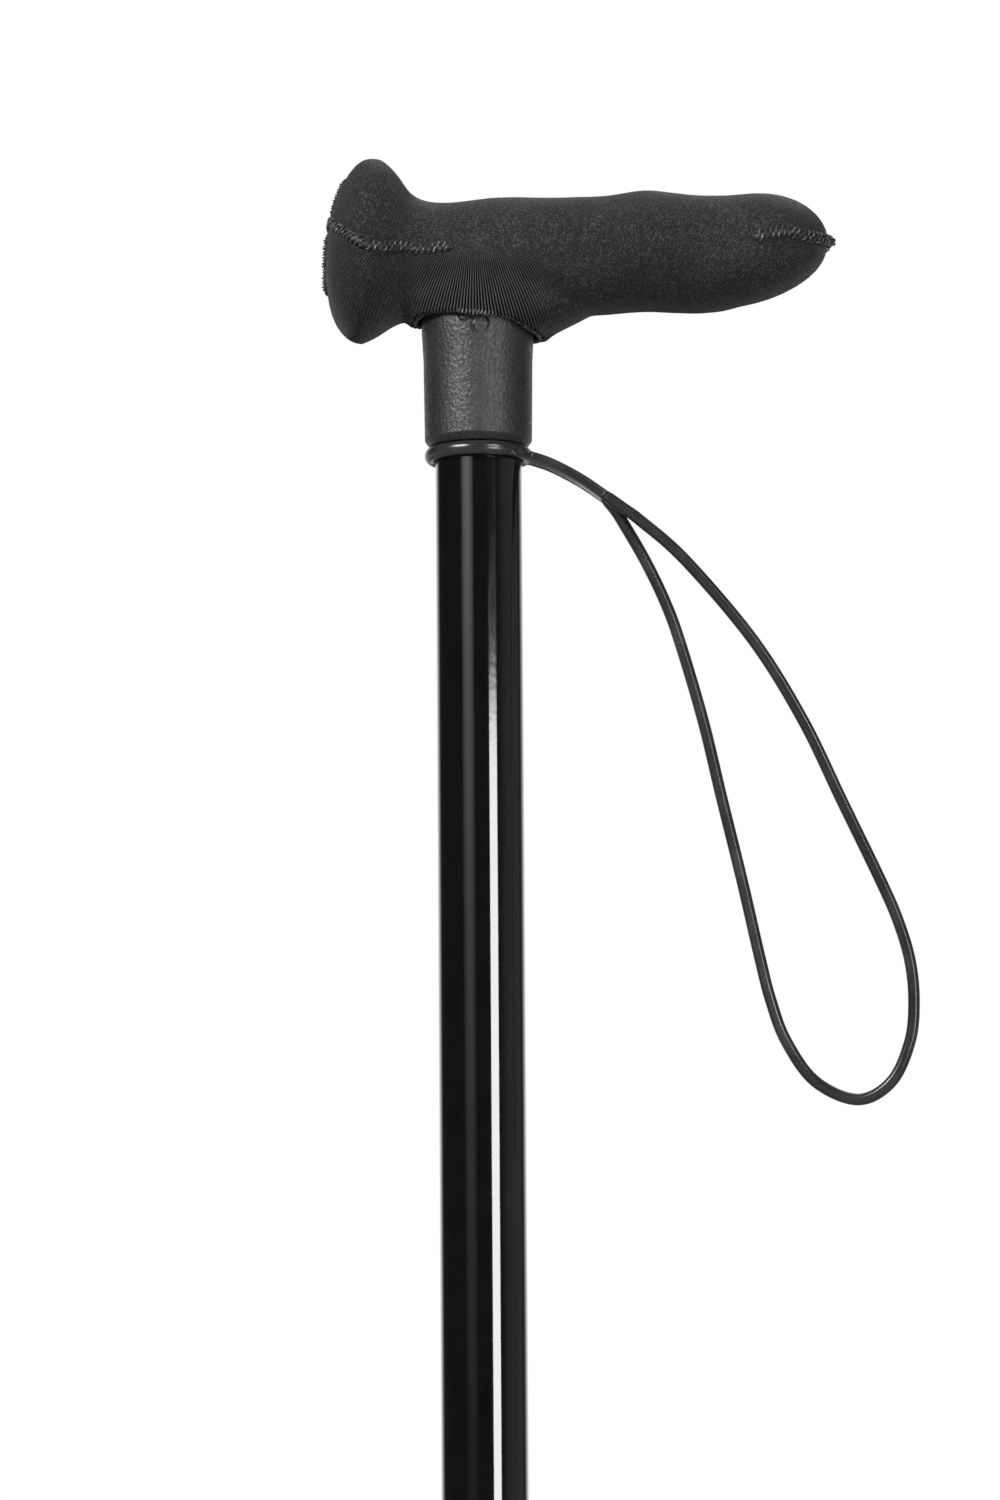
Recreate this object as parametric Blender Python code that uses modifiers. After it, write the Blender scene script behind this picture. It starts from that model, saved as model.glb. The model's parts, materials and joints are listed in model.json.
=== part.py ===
"""A height-adjustable walking cane with a fabric-covered grip and a wrist strap.

The origin is on the shaft's axis at the floor. +Z is up, and +X points to the grip's nose.
All sizes are in metres.
"""

import math

import bmesh
import bpy
from mathutils import Matrix, Vector

# Clearances
GAP = 0.0003
BUTTON_CLEARANCE = 0.0003

# Heights above the floor
NECK_END_Z = 0.826
UPPER_TUBE_END_Z = 0.345
BUTTON_Z = 0.440

# Tubes
TUBE_R = 0.011
TUBE_WALL = 0.0012
LOWER_TUBE_WALL = 0.0012
TUBE_OVERLAP_ABOVE_BUTTON = 0.048

# Height adjustment
HOLE_COUNT = 7
HOLE_PITCH = 0.025
BUTTON_R = 0.003
BUTTON_PROUD = 0.0026
BUTTON_DOME = 0.0012
BUTTON_BASE_R = 0.0040
BUTTON_BASE_THICK = 0.0012

# Grip, measured from the lower end of the neck
COVER_THICK = 0.0015
FLANGE_X = -0.0276
FLANGE_DOME = 0.0107
FLANGE_DOME_DROP = 0.0018
FLANGE_LEAN = 0.08
FLANGE_LEAN_END = -0.0150
NOSE_X = 0.0664
NOSE_DOME = 0.0228
NOSE_RISE = 0.0021
NOSE_POWER = 0.55
GRIP_STATIONS = (
    # along X, centre height, half height, half width
    (FLANGE_X, 0.0506, 0.0233, 0.0225),
    (-0.0246, 0.0511, 0.0223, 0.0216),
    (-0.0206, 0.0508, 0.0191, 0.0190),
    (-0.0165, 0.0492, 0.0160, 0.0168),
    (-0.0095, 0.0481, 0.0146, 0.0160),
    (0.0057, 0.0487, 0.0152, 0.0163),
    (0.0199, 0.0487, 0.0151, 0.0167),
    (0.0320, 0.0491, 0.0150, 0.0170),
    (0.0421, 0.0500, 0.0153, 0.0172),
    (0.0502, 0.0496, 0.0151, 0.0168),
    (0.0563, 0.0491, 0.0148, 0.0163),
    (0.0624, 0.0494, 0.0145, 0.0159),
    (NOSE_X, 0.0501, 0.0142, 0.0155),
)
GRIP_SECTIONS = 18
DOME_SECTIONS = 6
GRIP_SIDES = 24

# Boot of the cover, which draws in round the neck
HEM_TILT = math.radians(5)
BOOT_SECTIONS = (
    # height, and how far the half length and the half width stand out from the covered neck
    (0.0292, 0.0003, 0.0002),
    (0.0300, 0.0015, 0.0006),
    (0.0322, 0.0053, 0.0007),
    (0.0342, 0.0088, 0.0006),
    (0.0365, 0.0123, 0.0004),
    (0.0430, 0.0128, -0.0008),
)
BOOT_HOLE_DROP = 0.006

# Neck and socket
NECK_WALL = 0.0023
NECK_DRAFT = 0.00025
NECK_CHAMFER = 0.0018
NECK_CHAMFER_IN = 0.00135
NECK_HIGH_Z = 0.0225
NECK_TOP_RISE = 0.0031
SOCKET_DEPTH = 0.048
HEM_THREAD_R = 0.0005

# Seam threads, as proud beads on the cover
SEAM_R = 0.0004
SEAM_GAP = 0.0005
SEAM_STEP = 0.0035
# The side seam starts along the grip's side, as (place along X, degrees up from the side)
SIDE_SEAM_STRAIGHT = ((-0.0059, 0), (-0.0140, -1), (-0.0200, -3), (-0.0250, -3))
# and goes on round the flange's end, as (degrees from the end's pole, degrees up from the side)
SIDE_SEAM_DOME = ((80, 0), (62, 7), (45, 20), (32, 45), (24, 72), (22, 90))
UPRIGHT_SEAM_TOP = 55
UPRIGHT_SEAM_END = -25
NOSE_SEAM = ((82, 3), (70, 7), (58, 9), (46, 9), (34, 8), (22, 7), (10, 5), (0, 0))

# Wrist strap
RING_THICK = 0.0021
RING_TALL = 0.0036
RING_SECTION_POINTS = 12
STEM_WIDTH = 0.0064
STEM_STEP = 0.0022
STEM_THICK_AT_RING = 0.0020
STEM_THICK_AT_FORK = 0.0029
# The stem's route, outwards and up from the middle of the ring's section
STEM_ROUTE = ((-0.0005, 0.0), (0.0057, -0.0021), (0.0132, -0.0061), (0.0195, -0.0105))
STRAND_R = 0.0015
STRAND_SPACING = 0.0034
STRAND_STEP = 0.0072
STRAND_ROUTE = (
    (0.0346, 0.0018, -0.0160),
    (0.0368, 0.0022, -0.0195),
    (0.0421, 0.0030, -0.0288),
    (0.0469, 0.0040, -0.0389),
    (0.0506, 0.0048, -0.0491),
    (0.0564, 0.0056, -0.0695),
    (0.0611, 0.0060, -0.0900),
    (0.0659, 0.0056, -0.1106),
    (0.0704, 0.0048, -0.1314),
    (0.0729, 0.0040, -0.1418),
    (0.0766, 0.0028, -0.1523),
    (0.0838, 0.0012, -0.1629),
    (0.0945, -0.0006, -0.1679),
    (0.1030, -0.0022, -0.1636),
    (0.1077, -0.0034, -0.1536),
    (0.1088, -0.0042, -0.1434),
    (0.1079, -0.0050, -0.1333),
    (0.1050, -0.0056, -0.1232),
    (0.1007, -0.0062, -0.1130),
    (0.0911, -0.0066, -0.0925),
    (0.0815, -0.0060, -0.0717),
    (0.0691, -0.0048, -0.0508),
    (0.0523, -0.0032, -0.0300),
    (0.0409, -0.0022, -0.0194),
    (0.0362, -0.0018, -0.0158),
)

# Anti-rattle bush and locking collar
BUSH_WALL = 0.0013
BUSH_ABOVE_END = 0.012
BUSH_BELOW_END = 0.010
COLLAR_WALL = 0.0026
COLLAR_LIP = 0.003
COLLAR_CHAMFER = 0.001
COLLAR_TAPER = 0.002
COLLAR_GROOVES = 18
COLLAR_GROOVE_R = 0.0014
COLLAR_GROOVE_DEPTH = 0.0007
COLLAR_GROOVE_MARGIN = 0.006

# Insert at the top of the lower tube
CAP_THICK = 0.004
CAP_PLUG_LENGTH = 0.012
CAP_BORE_R = 0.003

# Button spring
SPRING_THICK = 0.0006
SPRING_WIDTH = 0.005
SPRING_BELOW_BUTTON = 0.008
SPRING_ABOVE_BUTTON = 0.026
SPRING_BACK_LEG = 0.036

# Ferrule
FERRULE_HEIGHT = 0.052
FERRULE_BASE_R = 0.0190
FERRULE_WALL = 0.0030
FERRULE_FLOOR = 0.012
FERRULE_BEAD = 0.0008
FERRULE_BEAD_TALL = 0.004
FERRULE_EDGE_TALL = 0.0055
FERRULE_CHAMFER = 0.0015
TREAD_DEPTH = 0.0012
TREAD_RINGS = ((0.0080, 0.0105), (0.0130, 0.0150))
WASHER_THICK = 0.0012

# Sizes that follow from those above
BORE_R = TUBE_R - TUBE_WALL
LOWER_TUBE_R = BORE_R - GAP
LOWER_BORE_R = LOWER_TUBE_R - LOWER_TUBE_WALL
SOCKET_R = TUBE_R + GAP
UPPER_TUBE_TOP_Z = NECK_END_Z + SOCKET_DEPTH - GAP
LOWER_TUBE_TOP_Z = BUTTON_Z + TUBE_OVERLAP_ABOVE_BUTTON
WASHER_TOP_Z = FERRULE_FLOOR + GAP + WASHER_THICK
LOWER_TUBE_END_Z = WASHER_TOP_Z + GAP
HOLE_R = BUTTON_R + BUTTON_CLEARANCE
BUTTON_TIP_Y = -(TUBE_R + BUTTON_PROUD)
BUTTON_BASE_Y = -(math.sqrt(LOWER_BORE_R**2 - BUTTON_BASE_R**2) - GAP)
CORE_INSET = COVER_THICK + GAP
NECK_LOW_R = SOCKET_R + NECK_WALL
NECK_HIGH_R = NECK_LOW_R + NECK_DRAFT
NECK_END_R = NECK_LOW_R - NECK_CHAMFER_IN
RING_R = TUBE_R + GAP + RING_THICK / 2
RING_Z = NECK_END_Z - GAP - RING_TALL / 2
BUSH_IN_R = TUBE_R + GAP
BUSH_OUT_R = BUSH_IN_R + BUSH_WALL
BUSH_TOP_Z = UPPER_TUBE_END_Z + BUSH_ABOVE_END
BUSH_END_Z = UPPER_TUBE_END_Z - BUSH_BELOW_END
COLLAR_IN_R = BUSH_OUT_R + GAP
COLLAR_OUT_R = COLLAR_IN_R + COLLAR_WALL
TUBE_STEPS = 40
SMALL_STEPS = 32


def new_collection(name):
    collection = bpy.data.collections.new(name)
    bpy.context.scene.collection.children.link(collection)
    return collection


def clear_scene():
    for obj in list(bpy.data.objects):
        bpy.data.objects.remove(obj)


def material(name, hex_colour, roughness, metallic=0.0):
    """A plain Principled material; the colour is an sRGB hex value."""
    mat = bpy.data.materials.new(name)
    mat.use_nodes = True
    shader = mat.node_tree.nodes["Principled BSDF"]
    channels = [int(hex_colour[i : i + 2], 16) / 255 for i in (1, 3, 5)]
    linear = [c / 12.92 if c <= 0.04045 else ((c + 0.055) / 1.055) ** 2.4 for c in channels]
    shader.inputs["Base Color"].default_value = (*linear, 1)
    shader.inputs["Roughness"].default_value = roughness
    shader.inputs["Metallic"].default_value = metallic
    return mat


def add_object(name, data, collection, mat=None, location=(0, 0, 0)):
    obj = bpy.data.objects.new(name, data)
    obj.location = location
    collection.objects.link(obj)
    if mat:
        data.materials.append(mat)
    return obj


def move_to(obj, collection):
    for other in list(obj.users_collection):
        other.objects.unlink(obj)
    collection.objects.link(obj)


def cut(obj, cutter, operation="DIFFERENCE"):
    """Applies a cutter to an object with an exact Boolean modifier, and hides the cutter."""
    cutter.hide_render = True
    cutter.display_type = "WIRE"
    modifier = obj.modifiers.new(cutter.name, "BOOLEAN")
    modifier.operation = operation
    modifier.object = cutter
    return modifier


def turned(name, profile, collection, mat=None, location=(0, 0, 0), closed=True, steps=TUBE_STEPS):
    """A turned solid. The profile runs down its outer side, as (radius, height) pairs.

    A closed profile makes a ring, and an open one starts and ends on the axis.
    """
    mesh = bpy.data.meshes.new(name)
    count = len(profile)
    edges = [(i, i + 1) for i in range(count - 1)]
    if closed:
        edges.append((count - 1, 0))
    mesh.from_pydata([(r, 0, z) for r, z in profile], edges, [])
    obj = add_object(name, mesh, collection, mat, location)
    screw = obj.modifiers.new("Turn", "SCREW")
    screw.axis = "Z"
    screw.steps = steps
    screw.render_steps = steps
    screw.use_merge_vertices = True
    screw.merge_threshold = 0.00001
    screw.use_smooth_shade = True
    return obj


def sleeve(outer_r, inner_r, top, end):
    """The closed profile of a plain tube."""
    return [(outer_r, top), (outer_r, end), (inner_r, end), (inner_r, top)]


def interpolated(rows, at):
    """A smooth value of each column of the rows at a place in their first column."""
    last = len(rows) - 1
    index = 0
    while index < last - 1 and at > rows[index + 1][0]:
        index += 1
    x0, x1 = rows[index][0], rows[index + 1][0]
    span = x1 - x0
    t = (at - x0) / span
    values = []
    for column in range(1, len(rows[0])):
        slopes = []
        for i in (index, index + 1):
            low, high = rows[max(i - 1, 0)], rows[min(i + 1, last)]
            slopes.append((high[column] - low[column]) / (high[0] - low[0]))
        a, b = rows[index][column], rows[index + 1][column]
        values.append(
            a * (1 + 2 * t) * (1 - t) ** 2
            + b * t * t * (3 - 2 * t)
            + slopes[0] * span * t * (1 - t) ** 2
            - slopes[1] * span * t * t * (1 - t)
        )
    return values


def grip_section(x, inset=0.0):
    """Centre height, half height and half width of the grip at a place along X."""
    flange_dome = FLANGE_DOME - inset
    nose_dome = NOSE_DOME - inset
    centre, tall, wide = interpolated(GRIP_STATIONS, min(max(x, FLANGE_X), NOSE_X))
    shrink = 1.0
    if x < FLANGE_X:
        t = min((FLANGE_X - x) / flange_dome, 1)
        shrink = math.sqrt(1 - t * t)
        centre -= FLANGE_DOME_DROP * t * t
    if x > NOSE_X:
        t = min((x - NOSE_X) / nose_dome, 1)
        shrink = (1 - t * t) ** NOSE_POWER
        centre += NOSE_RISE * math.sin(t * math.pi / 2)
    return centre, (tall - inset) * shrink, (wide - inset) * shrink


def grip_point(x, angle, inset=0.0):
    """A point of the grip's surface; angle 0 is on the near side and a quarter turn is on top."""
    centre, tall, wide = grip_section(x, inset)
    share = (FLANGE_LEAN_END - x) / (FLANGE_LEAN_END - FLANGE_X)
    lean = FLANGE_LEAN * min(max(share, 0), 1)
    height = tall * math.sin(angle)
    return Vector((x + lean * height, -wide * math.cos(angle), centre + height))


def grip_places(inset):
    """Places of the grip's sections along X, closer together on the two domed ends."""
    turns = [(i + 1) / (DOME_SECTIONS + 1) * math.pi / 2 for i in range(DOME_SECTIONS)]
    flange_end = FLANGE_X - (FLANGE_DOME - inset)
    nose_end = NOSE_X + NOSE_DOME - inset
    places = [flange_end + (FLANGE_X - flange_end) * (1 - math.cos(a)) for a in turns]
    for i in range(GRIP_SECTIONS + 1):
        places.append(FLANGE_X + (NOSE_X - FLANGE_X) * i / GRIP_SECTIONS)
    places += [nose_end - (nose_end - NOSE_X) * (1 - math.cos(a)) for a in reversed(turns)]
    return flange_end, places, nose_end


def loft(name, rings, collection, start=None, end=None, mat=None):
    """A closed solid through rings of points, each end a flat cap or a point."""
    bm = bmesh.new()
    loops = [[bm.verts.new(p) for p in ring] for ring in rings]
    for low, high in zip(loops, loops[1:]):
        for i, vert in enumerate(low):
            j = (i + 1) % len(low)
            bm.faces.new((vert, low[j], high[j], high[i]))
    for loop, tip in ((loops[0], start), (loops[-1], end)):
        if tip is None:
            bm.faces.new(loop)
            continue
        apex = bm.verts.new(tip)
        for i, vert in enumerate(loop):
            bm.faces.new((vert, loop[(i + 1) % len(loop)], apex))
    bmesh.ops.recalc_face_normals(bm, faces=bm.faces)
    mesh = bpy.data.meshes.new(name)
    bm.to_mesh(mesh)
    bm.free()
    mesh.shade_smooth()
    return add_object(name, mesh, collection, mat, (0, 0, NECK_END_Z))


def grip_body(name, inset, collection, mat=None):
    start, places, end = grip_places(inset)
    rings = []
    for x in places:
        turns = [2 * math.pi * i / GRIP_SIDES for i in range(GRIP_SIDES)]
        rings.append([grip_point(x, a, inset) for a in turns])
    start_height = grip_section(start, inset)[0]
    end_height = grip_section(end, inset)[0]
    return loft(name, rings, collection, (start, 0, start_height), (end, 0, end_height), mat)


def boot_body(name, inset, collection, drop=0.0):
    """The boot round the neck; a drop carries its lower end on past the hem, as a cutter."""
    tilt = Matrix.Rotation(HEM_TILT, 3, "Y")
    pivot = Vector((0, 0, BOOT_SECTIONS[0][0]))
    sections = list(BOOT_SECTIONS)
    if drop:
        height, long_out, wide_out = sections[0]
        sections.insert(0, (height - drop, long_out, wide_out))
    rings = []
    covered = NECK_HIGH_R + CORE_INSET - inset
    for height, long_out, wide_out in sections:
        ring = []
        for i in range(GRIP_SIDES):
            angle = 2 * math.pi * i / GRIP_SIDES
            x = (covered + long_out) * math.cos(angle)
            y = (covered + wide_out) * math.sin(angle)
            ring.append(pivot + tilt @ (Vector((x, y, height)) - pivot))
        rings.append(ring)
    return loft(name, rings, collection)


def ribbon(name, route, half_thickness, width, collection, mat, plane):
    """A strip of even width along a flat route. The plane matrix takes (u, v, across) to the world."""
    left, right = [], []
    for i, point in enumerate(route):
        ahead = Vector(route[min(i + 1, len(route) - 1)])
        behind = Vector(route[max(i - 1, 0)])
        along = (ahead - behind).normalized()
        normal = Vector((-along.y, along.x))
        half = half_thickness(i / (len(route) - 1))
        left.append(Vector(point) + normal * half)
        right.append(Vector(point) - normal * half)
    curve = bpy.data.curves.new(name, "CURVE")
    curve.dimensions = "2D"
    curve.fill_mode = "BOTH"
    curve.extrude = width / 2
    outline = left + right[::-1]
    spline = curve.splines.new("POLY")
    spline.points.add(len(outline) - 1)
    for target, point in zip(spline.points, outline):
        target.co = (point.x, point.y, 0, 1)
    spline.use_cyclic_u = True
    guide = add_object(name + "_outline", curve, collection)
    guide.matrix_world = plane
    bpy.context.view_layer.update()
    evaluated = guide.evaluated_get(bpy.context.evaluated_depsgraph_get())
    mesh = bpy.data.meshes.new_from_object(evaluated)
    bm = bmesh.new()
    bm.from_mesh(mesh)
    bmesh.ops.remove_doubles(bm, verts=bm.verts, dist=0.000001)
    bm.to_mesh(mesh)
    bm.free()
    obj = add_object(name, mesh, collection, mat)
    obj.matrix_world = plane
    bpy.data.objects.remove(guide)
    return obj


def smooth_route(points, step):
    """Points at an even step along a smooth curve through the given ones."""
    points = [Vector(p) for p in points]
    fine = []
    for i in range(len(points) - 1):
        before = points[i - 1] if i else points[0] * 2 - points[1]
        after = points[i + 2] if i + 2 < len(points) else points[-1] * 2 - points[-2]
        p, q = points[i], points[i + 1]
        for k in range(12):
            t = k / 12
            fine.append(
                (
                    2 * p
                    + (q - before) * t
                    + (2 * before - 5 * p + 4 * q - after) * t * t
                    + (3 * p - before - 3 * q + after) * t**3
                )
                / 2
            )
    fine.append(points[-1])
    length = sum((b - a).length for a, b in zip(fine, fine[1:]))
    count = max(round(length / step), 2)
    route, walked, index = [fine[0]], 0.0, 0
    for k in range(1, count):
        target = length * k / count
        while walked + (fine[index + 1] - fine[index]).length < target:
            walked += (fine[index + 1] - fine[index]).length
            index += 1
        share = (target - walked) / (fine[index + 1] - fine[index]).length
        route.append(fine[index].lerp(fine[index + 1], share))
    route.append(fine[-1])
    return route


def tube_along(name, route, radius, collection, mat, resolution=2):
    """A round tube with filled caps along a route, which is measured from the neck's lower end."""
    curve = bpy.data.curves.new(name, "CURVE")
    curve.dimensions = "3D"
    curve.bevel_depth = radius
    curve.bevel_resolution = resolution
    curve.use_fill_caps = True
    spline = curve.splines.new("POLY")
    spline.points.add(len(route) - 1)
    for target, point in zip(spline.points, route):
        target.co = (*point, 1)
    return add_object(name, curve, collection, mat, (0, 0, NECK_END_Z))


def make_grip(parts, cutters):
    """The moulded core with its neck and socket, and the knitted cover drawn over it."""
    plastic = material("grip_core", "#48494B", 0.55)
    core = grip_body("grip_core", CORE_INSET, parts, plastic)
    cut(core, boot_body("core_boot", CORE_INSET, cutters), "UNION")
    neck_top_z = BOOT_SECTIONS[0][0] + NECK_TOP_RISE
    neck_profile = [
        (0, neck_top_z),
        (NECK_HIGH_R, neck_top_z),
        (NECK_HIGH_R, NECK_HIGH_Z),
        (NECK_LOW_R, NECK_CHAMFER),
        (NECK_END_R, 0),
        (0, 0),
    ]
    neck_place = (0, 0, NECK_END_Z)
    neck = turned("core_neck", neck_profile, cutters, location=neck_place, closed=False)
    cut(core, neck, "UNION")
    socket_profile = [
        (0, SOCKET_DEPTH),
        (SOCKET_R, SOCKET_DEPTH),
        (SOCKET_R, -SOCKET_DEPTH),
        (0, -SOCKET_DEPTH),
    ]
    cut(core, turned("socket", socket_profile, cutters, location=neck_place, closed=False))

    knit = material("knit_cover", "#2B2B2D", 0.9)
    cover = grip_body("knit_cover", 0, parts, knit)
    cut(cover, boot_body("cover_boot", 0, cutters), "UNION")
    cut(cover, grip_body("cover_hollow", COVER_THICK, cutters))
    cut(cover, boot_body("cover_hollow_boot", COVER_THICK, cutters, BOOT_HOLE_DROP))


def dome_point(turn, angle, inset, nose=False):
    """A point of a domed end; the turn is 0 at the pole and a quarter turn at the dome's rim."""
    if nose:
        return grip_point(NOSE_X + (NOSE_DOME - inset) * math.cos(turn), angle, inset)
    return grip_point(FLANGE_X - (FLANGE_DOME - inset) * math.cos(turn), angle, inset)


def both_sides(route):
    """A route from the near side to the middle plane, carried on to the far side."""
    return route + [Vector((p.x, -p.y, p.z)) for p in reversed(route[:-1])]


def make_seams(parts):
    """Overlocked seams round the flange's end and the nose, and the stitched hem on the neck."""
    thread = material("seam_thread", "#1F1F21", 0.85)
    lift = -(SEAM_R + SEAM_GAP)
    straight = [grip_point(x, math.radians(a), lift) for x, a in SIDE_SEAM_STRAIGHT]
    round_end = [dome_point(math.radians(t), math.radians(a), lift) for t, a in SIDE_SEAM_DOME]
    side = smooth_route(both_sides(straight + round_end), SEAM_STEP)
    tube_along("flange_seam_side", side, SEAM_R, parts, thread, 1)

    crossing = SIDE_SEAM_DOME[-1][0]
    clear = math.degrees((2 * SEAM_R + 2 * GAP) / FLANGE_DOME)
    for name, first, last in (
        ("flange_seam_upper", UPRIGHT_SEAM_TOP, crossing + clear),
        ("flange_seam_lower", crossing - clear, UPRIGHT_SEAM_END),
    ):
        route = []
        for i in range(9):
            turn = first + (last - first) * i / 8
            angle = math.copysign(math.pi / 2, turn)
            route.append(dome_point(math.radians(turn), angle, lift))
        tube_along(name, smooth_route(route, SEAM_STEP), SEAM_R, parts, thread, 1)

    nose = [dome_point(math.radians(t), math.radians(a), lift, True) for t, a in NOSE_SEAM]
    tube_along("nose_seam", smooth_route(both_sides(nose), SEAM_STEP), SEAM_R, parts, thread, 1)

    bpy.ops.mesh.primitive_torus_add(
        major_radius=NECK_HIGH_R + GAP + HEM_THREAD_R,
        minor_radius=HEM_THREAD_R,
        major_segments=TUBE_STEPS,
        minor_segments=6,
        location=(0, 0, NECK_END_Z + BOOT_SECTIONS[0][0] - GAP - HEM_THREAD_R),
        rotation=(0, HEM_TILT, 0),
    )
    hem = bpy.context.object
    hem.name = "hem_thread"
    hem.data.materials.append(thread)
    hem.data.shade_smooth()
    move_to(hem, parts)


def make_upper_tube(parts, cutters):
    """The tube of the handle, with the row of holes on its near side."""
    paint = material("upper_tube", "#101011", 0.12)
    profile = sleeve(TUBE_R, BORE_R, UPPER_TUBE_TOP_Z, UPPER_TUBE_END_Z)
    tube = turned("upper_tube", profile, parts, paint)
    for i in range(HOLE_COUNT):
        height = BUTTON_Z + (i - (HOLE_COUNT - 1) / 2) * HOLE_PITCH
        cut(tube, hole_cutter(f"upper_hole_{i}", height, cutters))


def hole_cutter(name, height, cutters):
    """A cutter for one button hole, through the near wall only."""
    bpy.ops.mesh.primitive_cylinder_add(
        vertices=20,
        radius=HOLE_R,
        depth=TUBE_R,
        location=(0, -TUBE_R, height),
        rotation=(math.pi / 2, 0, 0),
    )
    cutter = bpy.context.object
    cutter.name = name
    move_to(cutter, cutters)
    return cutter


def make_lower_tube(parts, cutters):
    """The sliding tube, its top insert and the ferrule with its washer."""
    metal = material("lower_tube", "#18181A", 0.2)
    profile = sleeve(LOWER_TUBE_R, LOWER_BORE_R, LOWER_TUBE_TOP_Z, LOWER_TUBE_END_Z)
    tube = turned("lower_tube", profile, parts, metal)
    cut(tube, hole_cutter("lower_hole", BUTTON_Z, cutters))

    plug_r = LOWER_BORE_R - GAP
    shoulder_z = LOWER_TUBE_TOP_Z + GAP
    cap_profile = [
        (LOWER_TUBE_R, shoulder_z + CAP_THICK),
        (LOWER_TUBE_R, shoulder_z),
        (plug_r, shoulder_z),
        (plug_r, LOWER_TUBE_TOP_Z - CAP_PLUG_LENGTH),
        (CAP_BORE_R, LOWER_TUBE_TOP_Z - CAP_PLUG_LENGTH),
        (CAP_BORE_R, shoulder_z + CAP_THICK),
    ]
    nylon = material("tube_insert", "#2A2A2C", 0.5)
    turned("tube_insert", cap_profile, parts, nylon, steps=SMALL_STEPS)

    washer_profile = [
        (0, WASHER_TOP_Z),
        (LOWER_TUBE_R, WASHER_TOP_Z),
        (LOWER_TUBE_R, FERRULE_FLOOR + GAP),
        (0, FERRULE_FLOOR + GAP),
    ]
    steel = material("ferrule_washer", "#A8A9AB", 0.35, 1.0)
    turned("ferrule_washer", washer_profile, parts, steel, closed=False, steps=SMALL_STEPS)
    make_ferrule(parts)


def make_ferrule(parts):
    """The rubber foot: a sleeve over the tube, a flared base and a ringed tread."""
    bore_r = LOWER_TUBE_R + GAP
    sleeve_r = bore_r + FERRULE_WALL
    profile = [
        (bore_r, FERRULE_HEIGHT),
        (sleeve_r + FERRULE_BEAD, FERRULE_HEIGHT),
        (sleeve_r + FERRULE_BEAD, FERRULE_HEIGHT - FERRULE_BEAD_TALL),
        (sleeve_r, FERRULE_HEIGHT - FERRULE_BEAD_TALL - FERRULE_BEAD),
        (sleeve_r, FERRULE_HEIGHT * 0.60),
        (sleeve_r + (FERRULE_BASE_R - sleeve_r) * 0.25, FERRULE_HEIGHT * 0.42),
        (sleeve_r + (FERRULE_BASE_R - sleeve_r) * 0.75, FERRULE_HEIGHT * 0.22),
        (FERRULE_BASE_R, FERRULE_EDGE_TALL),
        (FERRULE_BASE_R, FERRULE_CHAMFER),
        (FERRULE_BASE_R - FERRULE_CHAMFER, 0),
    ]
    for inner, outer in reversed(TREAD_RINGS):
        profile += [(outer, 0), (outer, TREAD_DEPTH), (inner, TREAD_DEPTH), (inner, 0)]
    profile += [(0, 0)]
    floor = [(0, FERRULE_FLOOR), (bore_r, FERRULE_FLOOR)]
    rubber = material("ferrule", "#1C1C1D", 0.8)
    turned("ferrule", floor + profile, parts, rubber, closed=False)


def make_button(parts):
    """The snap button on its empty, which stands at the button's base on its own axis."""
    pivot = bpy.data.objects.new("button_axis", None)
    pivot.location = (0, 0, BUTTON_Z)
    parts.objects.link(pivot)
    base_back = BUTTON_BASE_Y + BUTTON_BASE_THICK
    profile = [
        (0, -BUTTON_TIP_Y),
        (BUTTON_R * 0.55, -BUTTON_TIP_Y - BUTTON_DOME * 0.25),
        (BUTTON_R, -BUTTON_TIP_Y - BUTTON_DOME),
        (BUTTON_R, -BUTTON_BASE_Y),
        (BUTTON_BASE_R, -BUTTON_BASE_Y),
        (BUTTON_BASE_R, -base_back),
        (0, -base_back),
    ]
    steel = material("snap_button", "#B4B5B8", 0.25, 1.0)
    button = turned("snap_button", profile, parts, steel, closed=False, steps=24)
    button.parent = pivot
    button.rotation_euler = (math.pi / 2, 0, 0)


def make_spring(parts):
    """The bent leaf spring inside the lower tube, which holds the button out."""
    front = BUTTON_BASE_Y + BUTTON_BASE_THICK + GAP + SPRING_THICK / 2
    wall_y = math.sqrt(LOWER_BORE_R**2 - (SPRING_WIDTH / 2) ** 2)
    back = wall_y - GAP - SPRING_THICK / 2
    bend_r = (back - front) / 2
    bend_z = BUTTON_Z + SPRING_ABOVE_BUTTON - bend_r
    middle = (front + back) / 2
    route = [(front, BUTTON_Z - SPRING_BELOW_BUTTON), (front, bend_z)]
    for i in range(1, 8):
        angle = math.pi * i / 8
        route.append((middle - bend_r * math.cos(angle), bend_z + bend_r * math.sin(angle)))
    route += [(back, bend_z), (back, bend_z - SPRING_BACK_LEG)]
    plane = Matrix(((0, 0, 1, 0), (1, 0, 0, 0), (0, 1, 0, 0), (0, 0, 0, 1)))
    steel = material("button_spring", "#8E8F92", 0.3, 1.0)
    ribbon("button_spring", route, lambda share: SPRING_THICK / 2, SPRING_WIDTH, parts, steel, plane)


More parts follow.
